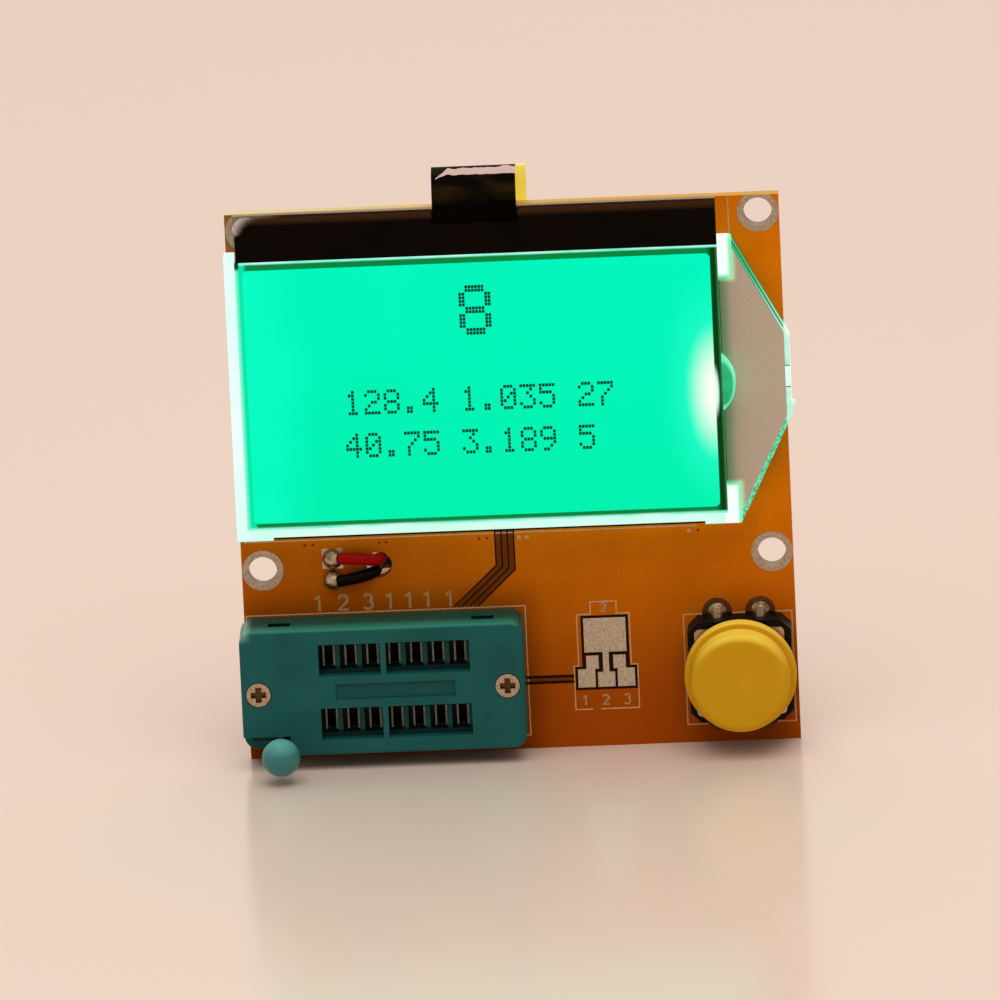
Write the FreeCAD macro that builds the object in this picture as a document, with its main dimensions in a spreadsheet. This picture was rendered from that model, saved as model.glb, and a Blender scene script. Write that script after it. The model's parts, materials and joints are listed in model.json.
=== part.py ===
import FreeCAD, Part
import math
import os
from types import SimpleNamespace

import Sketcher
from FreeCAD import Placement, Rotation, Vector

# Bare-board component tester, standing upright on the lower edge of its circuit board.
# Millimetres. X runs to the viewer's right, Y from the front to the back, Z up.
# The origin is the middle of the board's lower edge, halfway through its thickness.

SIZES = {
    # circuit board
    "board_width": 64.0,
    "board_height": 65.2,
    "board_thickness": 1.6,
    "mount_hole_radius": 1.65,
    "mount_side_inset": 2.45,
    "mount_top_inset": 2.0,
    "mount_bottom": 22.6,
    "ring_width": 0.75,
    "pad_thickness": 0.05,
    "lead_hole_radius": 1.55,
    "lead_hole_inset": 15.9,
    "lead_hole_z": 22.8,
    "wire_pad_inset": 10.6,
    "wire_pad_side": 2.4,
    "wire_pad_rise": 0.95,
    "wire_pad_spacing": 2.55,
    "round_pad_radius": 1.1,
    "test_pads_shift": 0.15,
    "test_pads_z": 11.3,
    "large_pad_width": 4.9,
    "large_pad_height": 4.1,
    "pad_neck_width": 0.7,
    "pad_neck_length": 2.4,
    "pad_foot_width": 2.0,
    "pad_foot_height": 1.8,
    "side_pad_gap": 0.4,
    "side_pad_offset": 0.85,
    "side_pad_step": 0.45,
    "side_pad_width": 1.45,
    # display
    "glass_left_margin": 1.15,
    "glass_bottom": 28.9,
    "glass_top_margin": 4.5,
    "glass_thickness": 1.1,
    "ledge_height": 5.4,
    "film_thickness": 0.2,
    "film_gap": 0.1,
    "polarizer_border": 0.85,
    "polarizer_corner": 0.6,
    "guide_thickness": 2.8,
    "guide_side_margin": 1.35,
    "guide_wedge_margin": 1.5,
    "guide_bottom_margin": 1.6,
    "guide_top_margin": 0.1,
    "guide_foot_width": 4.2,
    "guide_foot_height": 0.35,
    "wedge_overhang": 0.6,
    "wedge_reach": 6.35,
    "wedge_end_height": 9.3,
    "wedge_rise": 0.2,
    "wedge_gate": 0.4,
    "wedge_end_rim": 0.6,
    "wedge_top_rim": 0.7,
    "wedge_foot_rim": 1.15,
    "film_notch_top": 4.5,
    "film_notch_bottom": 2.8,
    "led_width": 2.4,
    "led_depth": 1.6,
    "led_pin_side": 0.4,
    "led_pin_spacing": 1.6,
    "seal_height": 6.3,
    "seal_bulge": 1.5,
    "coat_thickness": 0.6,
    "coat_left_border": 0.15,
    "coat_top_border": 0.3,
    "chip_length": 14.0,
    "chip_width": 1.2,
    "chip_thickness": 0.4,
    "flex_shift": 0.1,
    "flex_width": 9.7,
    "flex_thickness": 0.15,
    "flex_rise": 5.0,
    "flex_bond": 1.6,
    "flex_tail": 8.0,
    "flex_ear": 1.1,
    # test socket
    "socket_overhang": 0.5,
    "socket_z": 9.4,
    "socket_length": 32.9,
    "socket_width": 15.1,
    "socket_height": 6.4,
    "socket_corner": 1.6,
    "socket_edge": 0.4,
    "base_height": 2.8,
    "cover_roof": 1.8,
    "cover_wall": 1.15,
    "pin_pitch": 2.54,
    "row_spacing": 7.62,
    "contact_shift": 1.45,
    "contact_width": 1.4,
    "contact_height": 2.4,
    "leaf_thickness": 0.2,
    "leaf_set_back": 0.3,
    "tail_width": 0.5,
    "tail_thickness": 0.3,
    "tail_length": 1.3,
    "window_height": 3.8,
    "window_end": 1.15,
    "window_rib": 0.64,
    "slider_thickness": 1.6,
    "slide_travel": 0.5,
    "slide_gap": 0.05,
    "groove_length": 13.9,
    "groove_height": 1.9,
    "groove_depth": 0.35,
    "screw_inset": 2.0,
    "screw_head_radius": 1.4,
    "screw_head_height": 0.8,
    "screw_cross_width": 0.7,
    "screw_cross_length": 1.8,
    "screw_cross_depth": 0.5,
    "screw_shank_radius": 0.7,
    "screw_length": 5.4,
    "screw_gap": 0.05,
    "lever_inset": 4.5,
    "lever_side_inset": 1.45,
    "lever_radius": 0.65,
    "lever_length": 8.3,
    "lever_clearance": 0.35,
    "lever_bearing": 0.95,
    "axle_gap": 0.05,
    "crank_radius": 0.9,
    "ball_radius": 2.2,
    "ball_socket_depth": 1.1,
    "clip_notch_inset": 4.65,
    "clip_notch_width": 2.6,
    "clip_notch_height": 1.4,
    "clip_notch_depth": 0.6,
    # push switch and its cap
    "switch_side_inset": 6.6,
    "switch_z": 9.3,
    "switch_side": 12.0,
    "switch_height": 3.5,
    "switch_corner": 1.2,
    "switch_plate_side": 10.4,
    "switch_plate_thickness": 0.3,
    "switch_plate_corner": 0.6,
    "switch_well_radius": 4.4,
    "switch_well_depth": 2.3,
    "switch_neck_radius": 3.3,
    "switch_neck_gap": 0.2,
    "switch_neck_height": 0.6,
    "switch_flange_radius": 4.1,
    "switch_dome_height": 0.6,
    "switch_dome_thickness": 0.12,
    "switch_dome_gap": 0.1,
    "switch_dome_crown": 0.1,
    "switch_dome_lip": 0.3,
    "stem_side": 3.8,
    "stem_length": 2.9,
    "stem_gap": 0.03,
    "switch_pin_spacing": 5.0,
    "switch_pin_rows": 12.5,
    "switch_pin_width": 0.8,
    "switch_pin_thickness": 0.4,
    "press_travel": 0.3,
    "cap_clearance": 0.5,
    "cap_radius": 6.5,
    "cap_rim_height": 1.6,
    "cap_top_radius": 5.8,
    "cap_height": 5.2,
    "cap_round": 0.9,
    "cap_rim_round": 0.3,
    "cap_wall": 1.1,
    "cap_top_thickness": 1.8,
    "cap_boss_radius": 3.1,
    # through holes and solder
    "hole_gap": 0.15,
    "solder_radius": 0.85,
    "solder_tip_radius": 0.4,
    "solder_height": 0.9,
    "front_solder_radius": 1.1,
    "front_solder_tip_radius": 0.65,
    "front_solder_height": 0.55,
    "blob_radius": 1.2,
    "blob_height": 1.3,
    # parts on the back
    "chip_gap": 0.1,
    "controller_x": 6.0,
    "controller_z": 36.0,
    "controller_side": 7.0,
    "controller_thickness": 1.0,
    "controller_lead_pitch": 0.8,
    "controller_lead_width": 0.35,
    "controller_lead_reach": 1.0,
    "lead_thickness": 0.15,
    "crystal_rise": 9.5,
    "crystal_length": 11.4,
    "crystal_width": 4.7,
    "crystal_height": 3.4,
    "regulator_inset": 11.0,
    "regulator_z": 31.0,
    "regulator_length": 4.5,
    "regulator_width": 2.5,
    "regulator_height": 1.5,
    "transistor_length": 2.9,
    "transistor_width": 1.3,
    "transistor_height": 1.0,
    "transistor_inset": 11.0,
    "transistor_z": 38.0,
    "transistor_step": 5.0,
    "small_chip_length": 2.0,
    "small_chip_width": 1.25,
    "small_chip_height": 0.55,
    "small_chip_step": 2.4,
    "resistor_x": -10.0,
    "resistor_z": 29.0,
    "capacitor_x": 13.5,
    "capacitor_z": 30.0,
    "capacitor_step": 4.0,
    # battery lead
    "wire_radius": 0.7,
    "snap_thickness": 4.5,
    "snap_length": 26.0,
    "snap_width": 12.5,
    "snap_corner": 2.5,
    # battery
    "battery_inset": 12.5,
    "battery_gap": 3.2,
    "battery_length": 45.6,
    "battery_depth": 26.5,
    "battery_height": 17.5,
    "battery_corner": 2.0,
    "post_spacing": 12.7,
    "post_length": 2.9,
    "small_post_radius": 2.8,
    "large_post_radius": 4.2,
    "large_post_wall": 0.9,
    "post_gap": 0.1,
    "stud_wall": 1.1,
}

SOCKET_COLUMNS = 7
CONTROLLER_LEADS_PER_SIDE = 8
RESISTORS = 6
CAPACITORS = 4
SMALL_PACKAGES = 4

doc = FreeCAD.newDocument("component_tester")
sheet = doc.addObject("Spreadsheet::Sheet", "Sizes")
for row, (alias, number) in enumerate(SIZES.items(), start=1):
    sheet.set(f"A{row}", alias)
    sheet.set(f"B{row}", str(number))
    sheet.setAlias(f"B{row}", alias)
doc.recompute()


class Size:
    """A length that knows both its value and the expression that binds it to the sheet."""

    def __init__(self, text, value):
        self.text = text
        self.value = value

    def __add__(self, other):
        other = as_size(other)
        return Size(f"({self.text} + {other.text})", self.value + other.value)

    def __sub__(self, other):
        other = as_size(other)
        return Size(f"({self.text} - {other.text})", self.value - other.value)

    def __mul__(self, other):
        other = as_size(other)
        return Size(f"({self.text} * {other.text})", self.value * other.value)

    def __truediv__(self, other):
        other = as_size(other)
        return Size(f"({self.text} / {other.text})", self.value / other.value)

    def __neg__(self):
        return Size(f"(0 - {self.text})", -self.value)


def as_size(amount):
    if isinstance(amount, Size):
        return amount
    return Size(f"({amount})", float(amount))


S = SimpleNamespace(**{alias: Size(f"Sizes.{alias}", sheet.get(alias)) for alias in SIZES})

# Helpers: each makes one document object whose sizes follow the sheet.


def bind(item, **properties):
    for name, amount in properties.items():
        item.setExpression(name, as_size(amount).text)


def place(item, x, y, z):
    for axis, amount in zip("xyz", (x, y, z)):
        item.setExpression(f"Placement.Base.{axis}", as_size(amount).text)


def block(label, x, y, z):
    """A box between two faces on each axis."""
    item = doc.addObject("Part::Box", label)
    low_x, low_y, low_z = (as_size(pair[0]) for pair in (x, y, z))
    bind(item, Length=as_size(x[1]) - low_x, Width=as_size(y[1]) - low_y, Height=as_size(z[1]) - low_z)
    place(item, low_x, low_y, low_z)
    return item


TURNS = {
    "X": Rotation(Vector(0, 1, 0), 90),
    "Y": Rotation(Vector(1, 0, 0), -90),
    "Z": Rotation(),
}


def rod(label, axis, radius, length, start):
    """A cylinder that grows along a positive axis from its start point."""
    item = doc.addObject("Part::Cylinder", label)
    item.Placement = Placement(Vector(), TURNS[axis])
    bind(item, Radius=radius, Height=length)
    place(item, *start)
    return item


def cone(label, axis, start_radius, end_radius, length, start):
    item = doc.addObject("Part::Cone", label)
    item.Placement = Placement(Vector(), TURNS[axis])
    bind(item, Radius1=start_radius, Radius2=end_radius, Height=length)
    place(item, *start)
    return item


def ball(label, radius, centre):
    item = doc.addObject("Part::Sphere", label)
    bind(item, Radius=radius)
    place(item, *centre)
    return item


def cut(label, base, *tools):
    item = doc.addObject("Part::Cut", label)
    item.Base = base
    item.Tool = tools[0] if len(tools) == 1 else group(f"{label}_tools", tools)
    return item


def fuse(label, *shapes):
    item = doc.addObject("Part::MultiFuse", label)
    item.Shapes = list(shapes)
    return item


def common(label, *shapes):
    item = doc.addObject("Part::MultiCommon", label)
    item.Shapes = list(shapes)
    return item


def group(label, shapes):
    """Separate solids that share one node."""
    item = doc.addObject("Part::Compound", label)
    item.Links = list(shapes)
    return item


def rectangle(x, z):
    return [(x[0], z[0]), (x[1], z[0]), (x[1], z[1]), (x[0], z[1])]


def pin_coordinate(sketch, element, point, names, values):
    for kind, name, amount in zip(("DistanceX", "DistanceY"), names, values):
        amount = as_size(amount)
        index = sketch.addConstraint(Sketcher.Constraint(kind, element, point, amount.value))
        sketch.renameConstraint(index, name)
        sketch.setExpression(f"Constraints.{name}", amount.text)


def draw_outline(sketch, corners):
    points = [Vector(as_size(u).value, as_size(v).value, 0) for u, v in corners]
    for i, point in enumerate(points):
        sketch.addGeometry(Part.LineSegment(point, points[(i + 1) % len(points)]), False)
    for i, corner in enumerate(corners):
        sketch.addConstraint(Sketcher.Constraint("Coincident", i - 1 if i else len(points) - 1, 2, i, 1))
        pin_coordinate(sketch, i, 1, (f"u{i}", f"v{i}"), corner)


def draw_circles(sketch, circles):
    for u, v, radius in circles:
        centre = Vector(as_size(u).value, as_size(v).value, 0)
        i = sketch.addGeometry(Part.Circle(centre, Vector(0, 0, 1), as_size(radius).value), False)
        pin_coordinate(sketch, i, 3, (f"u{i}", f"v{i}"), (u, v))
        index = sketch.addConstraint(Sketcher.Constraint("Radius", i, as_size(radius).value))
        sketch.renameConstraint(index, f"r{i}")
        sketch.setExpression(f"Constraints.r{i}", as_size(radius).text)


def new_sketch(body, plane, name, offset=0):
    sketch = body.newObject("Sketcher::SketchObject", name)
    support = next(feature for feature in body.Origin.OriginFeatures if feature.Role == plane)
    sketch.AttachmentSupport = [(support, "")]
    sketch.MapMode = "FlatFace"
    sketch.setExpression("AttachmentOffset.Base.z", as_size(offset).text)
    return sketch


def plate(label, corners, back, front, holes=()):
    """A flat piece that faces the viewer, from its back plane to its front plane, with round holes."""
    body = doc.addObject("PartDesign::Body", label)
    sketch = new_sketch(body, "XZ_Plane", f"{label}_outline", -as_size(back))
    draw_outline(sketch, corners)
    pad = body.newObject("PartDesign::Pad", f"{label}_pad")
    pad.Profile = sketch
    bind(pad, Length=as_size(back) - as_size(front))
    if holes:
        marks = new_sketch(body, "XZ_Plane", f"{label}_holes", -as_size(back))
        draw_circles(marks, holes)
        doc.recompute()
        pocket = body.newObject("PartDesign::Pocket", f"{label}_pocket")
        pocket.Profile = marks
        pocket.Type = "ThroughAll"
        pocket.Reversed = True
    doc.recompute()
    return body


def edge_names(body, wanted):
    return [f"Edge{i}" for i, edge in enumerate(body.Shape.Edges, start=1) if wanted(edge)]


def runs_along(axis):
    return lambda edge: len(edge.Vertexes) == 2 and abs(edge.tangentAt(edge.FirstParameter).dot(axis)) > 0.999


def lies_at_y(level):
    return lambda edge: all(abs(vertex.Y - level.value) < 1e-6 for vertex in edge.Vertexes)


def dress(body, kind, radius, wanted):
    """Rounds or bevels the chosen edges of a body."""
    doc.recompute()
    finished = body.Tip
    feature = body.newObject(f"PartDesign::{kind}", f"{body.Name}_{kind.lower()}_{len(body.Group)}")
    feature.Base = (finished, edge_names(body, wanted))
    bind(feature, **{"Radius" if kind == "Fillet" else "Size": radius})
    body.Tip = feature
    doc.recompute()
    return body


ALONG_Y = runs_along(Vector(0, 1, 0))


def turned(label, profile, x, z):
    """A piece turned about an axis that points at the viewer; the profile is (radius, depth)."""
    body = doc.addObject("PartDesign::Body", label)
    sketch = new_sketch(body, "XY_Plane", f"{label}_profile")
    draw_outline(sketch, profile)
    spin = body.newObject("PartDesign::Revolution", f"{label}_turn")
    spin.Profile = sketch
    spin.ReferenceAxis = (sketch, ["V_Axis"])
    spin.Angle = 360
    place(body, x, 0, z)
    doc.recompute()
    return body


NODES = []


def node(item, label):
    """Names the finished piece."""
    item.Label = label
    NODES.append(item)
    return item


# Planes and places that several pieces share.

board_left = -S.board_width / 2
board_right = S.board_width / 2
board_front = -S.board_thickness / 2
board_back = S.board_thickness / 2

mount_high = S.board_height - S.mount_top_inset
mount_right = board_right - S.mount_side_inset
mount_points = [(mount_right * side, level) for side in (-1, 1) for level in (S.mount_bottom, mount_high)]
ring_radius = S.mount_hole_radius + S.ring_width
lead_hole_x = board_left + S.lead_hole_inset
wire_pad_x = board_left + S.wire_pad_inset

guide_back = board_front - S.film_thickness
guide_front = guide_back - S.guide_thickness
diffuser_front = guide_front - S.film_thickness
rear_glass_back = diffuser_front - S.film_thickness
rear_glass_front = rear_glass_back - S.glass_thickness
front_glass_front = rear_glass_front - S.glass_thickness

wedge_end = board_right + S.wedge_overhang
guide_right = wedge_end - S.wedge_reach
glass_right = guide_right - S.guide_wedge_margin
glass_left = board_left + S.glass_left_margin
glass_middle = (glass_left + glass_right) / 2
front_glass_top = S.board_height - S.glass_top_margin
rear_glass_top = front_glass_top + S.ledge_height

guide_left = glass_left - S.guide_side_margin
guide_bottom = S.glass_bottom - S.guide_bottom_margin
guide_top = front_glass_top + S.guide_top_margin
wedge_middle = (guide_bottom + guide_top) / 2 + S.wedge_rise
led_back_x = wedge_end - S.led_depth
led_pin_x = led_back_x + S.led_pin_side / 2

socket_left = board_left - S.socket_overhang
socket_right = socket_left + S.socket_length
socket_x = (socket_left + socket_right) / 2
socket_bottom = S.socket_z - S.socket_width / 2
socket_top = S.socket_z + S.socket_width / 2
base_front = board_front - S.base_height
cover_front = board_front - S.socket_height
contacts_x = socket_x + S.contact_shift
columns = [contacts_x + S.pin_pitch * (i - (SOCKET_COLUMNS - 1) / 2) for i in range(SOCKET_COLUMNS)]
rows = [S.socket_z + S.row_spacing * side / 2 for side in (-1, 1)]
screw_points = [socket_left + S.screw_inset, socket_right - S.screw_inset]

axle_x = socket_left + S.lever_inset
axle_y = base_front - S.lever_radius - S.axle_gap
lever_z = socket_bottom + S.lever_side_inset
notch_top = lever_z + S.lever_radius + S.lever_clearance
notch_right = axle_x + S.lever_radius + S.lever_clearance

switch_x = board_right - S.switch_side_inset
switch_left = switch_x - S.switch_side / 2
switch_right = switch_x + S.switch_side / 2
switch_front = board_front - S.switch_height
switch_plate_front = switch_front - S.switch_plate_thickness
switch_pin_points = [
    (switch_x + S.switch_pin_spacing * across / 2, S.switch_z + S.switch_pin_rows * up / 2)
    for up in (-1, 1)
    for across in (-1, 1)
]
test_pads_x = (socket_right + switch_left) / 2 - S.test_pads_shift


def make_board():
    """Board with its holes, and the bare metal on it."""
    tail_hole = S.tail_width / 2 + S.hole_gap
    holes = [(x, z, S.mount_hole_radius) for x, z in mount_points]
    holes += [(lead_hole_x, S.lead_hole_z, S.lead_hole_radius)]
    holes += [(x, z, tail_hole) for z in rows for x in columns]
    holes += [(x, z, S.switch_pin_width / 2 + S.hole_gap) for x, z in switch_pin_points]
    holes += [(led_pin_x, z, S.led_pin_side / 2 + S.hole_gap) for z in led_pin_levels()]
    outline = rectangle((board_left, board_right), (0, S.board_height))
    node(plate("board", outline, board_back, board_front, holes), "circuit_board")

    rings = []
    for side, start in (("front", board_front - S.pad_thickness), ("back", board_back)):
        level = (start, start + S.pad_thickness)
        for i, (x, z) in enumerate(mount_points):
            disc = rod(f"ring_disc_{side}_{i}", "Y", ring_radius, S.pad_thickness, (x, start, z))
            bore = rod(f"ring_bore_{side}_{i}", "Y", S.mount_hole_radius, S.pad_thickness, (x, start, z))
            face = block(f"ring_face_{side}_{i}", (board_left, board_right), level, (0, S.board_height))
            rings.append(common(f"ring_{side}_{i}", cut(f"ring_whole_{side}_{i}", disc, bore), face))
    node(group("rings", rings), "mounting_rings")

    pad_front = board_front - S.pad_thickness
    pads = [plate("large_pad", large_pad_outline(), board_front, pad_front)]
    pads += [plate(f"{name}_pad", side_pad_outline(side), board_front, pad_front)
             for side, name in ((-1, "left"), (1, "right"))]
    node(group("pads", pads), "test_pads")


def large_pad_outline():
    """A square pad with a neck down to a small foot, drawn as one half and its mirror image."""
    neck_end = S.test_pads_z - S.pad_neck_length
    foot_end = neck_end - S.pad_foot_height
    top = S.test_pads_z + S.large_pad_height
    foot, neck, wide = S.pad_foot_width / 2, S.pad_neck_width / 2, S.large_pad_width / 2
    right_half = [(foot, foot_end), (foot, neck_end), (neck, neck_end), (neck, S.test_pads_z),
                  (wide, S.test_pads_z), (wide, top)]
    left_half = [(-u, v) for u, v in reversed(right_half)]
    return [(test_pads_x + u, v) for u, v in right_half + left_half]


def side_pad_outline(side):
    """A narrow pad beside the neck, stepped outwards to its foot."""
    top = S.test_pads_z - S.side_pad_gap
    step_z = S.test_pads_z - S.pad_neck_length + S.side_pad_gap
    foot_end = S.test_pads_z - S.pad_neck_length - S.pad_foot_height
    near = S.side_pad_offset
    far = near + S.side_pad_width
    foot_near = near + S.side_pad_step
    foot_far = foot_near + S.pad_foot_width
    half = [(near, step_z), (near, top), (far, top), (far, step_z), (foot_far, step_z),
            (foot_far, foot_end), (foot_near, foot_end), (foot_near, step_z)]
    return [(test_pads_x + u * side, v) for u, v in half]


def led_pin_levels():
    return [wedge_middle + S.led_pin_spacing * side / 2 for side in (-1, 1)]


def make_display():
    """Backlight, panes, films, driver and flat cable, from the board outwards."""
    mirror_top = mount_high - ring_radius - S.film_gap
    mirror = rectangle((guide_left, guide_right), (guide_bottom, mirror_top))
    node(plate("reflector", mirror, board_front, guide_back), "reflector_film")

    end_low = wedge_middle - S.wedge_end_height / 2
    end_high = wedge_middle + S.wedge_end_height / 2
    foot_low = guide_bottom - S.guide_foot_height
    pocket_low = wedge_middle - S.led_width / 2
    pocket_high = wedge_middle + S.led_width / 2
    left_foot = guide_left + S.guide_foot_width
    right_foot = guide_right - S.guide_foot_width
    gate = S.wedge_gate
    outline = [(guide_left, foot_low), (left_foot, foot_low), (left_foot, guide_bottom),
               (right_foot, guide_bottom), (right_foot, foot_low), (guide_right, foot_low),
               (wedge_end, end_low), (wedge_end + gate, end_low + gate * 3), (wedge_end, end_low + gate * 3),
               (wedge_end, pocket_low), (led_back_x, pocket_low), (led_back_x, pocket_high),
               (wedge_end, pocket_high), (wedge_end, end_high), (guide_right, guide_top),
               (guide_left, guide_top)]
    node(plate("guide", outline, guide_back, guide_front), "light_guide")

    lamp = ((led_back_x, wedge_end), (guide_front, guide_back), (pocket_low, pocket_high))
    node(block("led", *lamp), "backlight_led")
    half = S.led_pin_side / 2
    legs = [block(f"led_leg_{i}", (led_pin_x - half, led_pin_x + half),
                  (guide_back, board_back + S.tail_length), (level - half, level + half))
            for i, level in enumerate(led_pin_levels())]
    node(group("led_legs", legs), "led_pins")

    film_left = glass_right + S.film_gap
    film_right = wedge_end - S.wedge_end_rim
    top_slope = (guide_top - end_high) / S.wedge_reach
    foot_slope = (end_low - foot_low) / S.wedge_reach
    notch_low = S.glass_bottom + S.film_notch_bottom
    notch_high = guide_top - S.film_notch_top
    film = [(film_left, notch_low), (guide_right, notch_low), (guide_right, foot_low + S.wedge_foot_rim),
            (film_right, end_low - foot_slope * S.wedge_end_rim + S.wedge_foot_rim),
            (film_right, end_high + top_slope * S.wedge_end_rim - S.wedge_top_rim),
            (guide_right, guide_top - S.wedge_top_rim), (guide_right, notch_high), (film_left, notch_high)]
    node(plate("film", film, guide_front, diffuser_front), "wedge_film")

    pane = (glass_left, glass_right)
    node(plate("diffuser", rectangle(pane, (S.glass_bottom, front_glass_top)), guide_front, diffuser_front),
         "diffuser_film")
    border = S.polarizer_border
    sheet_outline = rectangle((glass_left + border, glass_right - border),
                              (S.glass_bottom + border, front_glass_top - border))
    node(plate("inner_polarizer", sheet_outline, diffuser_front, rear_glass_back), "rear_polarizer")
    rear_pane = rectangle(pane, (S.glass_bottom, rear_glass_top))
    node(plate("rear_pane", rear_pane, rear_glass_back, rear_glass_front), "lcd_rear_glass")
    front_pane = rectangle(pane, (S.glass_bottom, front_glass_top))
    node(plate("front_pane", front_pane, rear_glass_front, front_glass_front), "lcd_front_glass")
    film_front = front_glass_front - S.film_thickness
    polarizer = plate("outer_polarizer", sheet_outline, front_glass_front, film_front)
    node(dress(polarizer, "Fillet", S.polarizer_corner, ALONG_Y), "front_polarizer")

    seal_radius = (S.seal_height * S.seal_height / 4 + S.seal_bulge * S.seal_bulge) / (S.seal_bulge * 2)
    drop = rod("seal_drop", "Y", seal_radius, S.glass_thickness * 2,
               (glass_right + S.seal_bulge - seal_radius, front_glass_front, wedge_middle))
    keep = block("seal_keep", (glass_right, glass_right + S.seal_bulge * 2),
                 (front_glass_front, rear_glass_back),
                 (wedge_middle - S.seal_height, wedge_middle + S.seal_height))
    node(common("seal", drop, keep), "fill_port_seal")

    flex_x = glass_middle + S.flex_shift
    flex_left = flex_x - S.flex_width / 2
    flex_right = flex_x + S.flex_width / 2
    bond_low = rear_glass_top - S.flex_bond
    coat_front = rear_glass_front - S.coat_thickness
    coat = block("coat", (glass_left + S.coat_left_border, glass_right), (coat_front, rear_glass_front),
                 (front_glass_top, rear_glass_top - S.coat_top_border))
    chip_low = front_glass_top + (S.ledge_height - S.flex_bond - S.chip_width) / 2
    chip_box = ((glass_middle - S.chip_length / 2, glass_middle + S.chip_length / 2),
                (rear_glass_front - S.chip_thickness, rear_glass_front), (chip_low, chip_low + S.chip_width))
    bond_room = block("coat_bond_room", (flex_left - S.chip_gap, flex_right + S.chip_gap),
                      (coat_front, rear_glass_front), (bond_low - S.chip_gap, rear_glass_top))
    node(cut("ledge_coat", coat, block("coat_chip_room", *chip_box), bond_room), "ledge_coating")
    node(block("driver", *chip_box), "driver_chip")

    make_flex(flex_left, flex_right, bond_low)


def make_flex(left, right, bond_low):
    """Flat cable: up from the ledge, round in a half circle and down the board's back."""
    thick = S.flex_thickness
    front_face = rear_glass_front - thick
    back_face = board_back + thick
    outer = (back_face - front_face) / 2
    middle = (back_face + front_face) / 2
    bend_z = S.board_height + S.flex_rise - outer
    tail_right = right + S.flex_ear
    width = tail_right - left
    hoop = cut("flex_hoop", rod("flex_outer", "X", outer, width, (left, middle, bend_z)),
               rod("flex_inner", "X", outer - thick, width, (left, middle, bend_z)),
               block("flex_below", (left, tail_right), (front_face, back_face), (bend_z - outer, bend_z)))
    front_leg = block("flex_front_leg", (left, tail_right), (front_face, rear_glass_front),
                      (bond_low, bend_z))
    back_leg = block("flex_back_leg", (left, tail_right), (board_back, back_face),
                     (S.board_height - S.flex_tail, bend_z))
    strip = fuse("flex_strip", hoop, front_leg, back_leg)
    ear_room = block("flex_ear_room", (right, tail_right), (front_face, middle), (bond_low, bend_z + outer))
    node(cut("flex", strip, ear_room), "lcd_flex")


def make_socket():
    """Zero-insertion-force socket: base, cover, slider, contacts, screws and lever."""
    make_socket_base()
    make_socket_cover()
    make_slider()
    make_contacts()
    make_socket_screws()
    make_lever()


def rounded_body(label, back, front):
    outline = rectangle((socket_left, socket_right), (socket_bottom, socket_top))
    return dress(plate(label, outline, back, front), "Fillet", S.socket_corner, ALONG_Y)


def lever_notch(label, back):
    return block(label, (socket_left, notch_right), (cover_front, back), (socket_bottom, notch_top))


cavity_front = cover_front + S.cover_roof
cavity_low = socket_bottom + S.cover_wall
cavity_high = socket_top - S.cover_wall
crank_low = notch_top + S.lever_bearing
crank_high = S.socket_z * 2 - crank_low
crank_room = S.crank_radius + S.slide_travel


def make_socket_base():
    body = rounded_body("base_body", board_front, base_front)
    half_width = S.contact_width / 2 + S.slide_gap
    half_height = S.contact_height / 2 + S.slide_gap
    tools = [block(f"base_room_{i}_{j}", (x - half_width, x + half_width), (base_front, board_front),
                   (z - half_height, z + half_height))
             for j, z in enumerate(rows) for i, x in enumerate(columns)]
    tools.append(lever_notch("base_notch", base_front + S.lever_clearance))
    tools.append(block("base_crank_room", (axle_x - crank_room, axle_x + crank_room),
                       (base_front, base_front + S.crank_radius), (crank_low, crank_high)))
    shank_end = cover_front + S.screw_length
    tools += [rod(f"base_screw_room_{i}", "Y", S.screw_shank_radius + S.screw_gap,
                  shank_end + S.screw_gap - base_front, (x, base_front, S.socket_z))
              for i, x in enumerate(screw_points)]
    node(cut("base", body, *tools), "zif_base")


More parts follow.
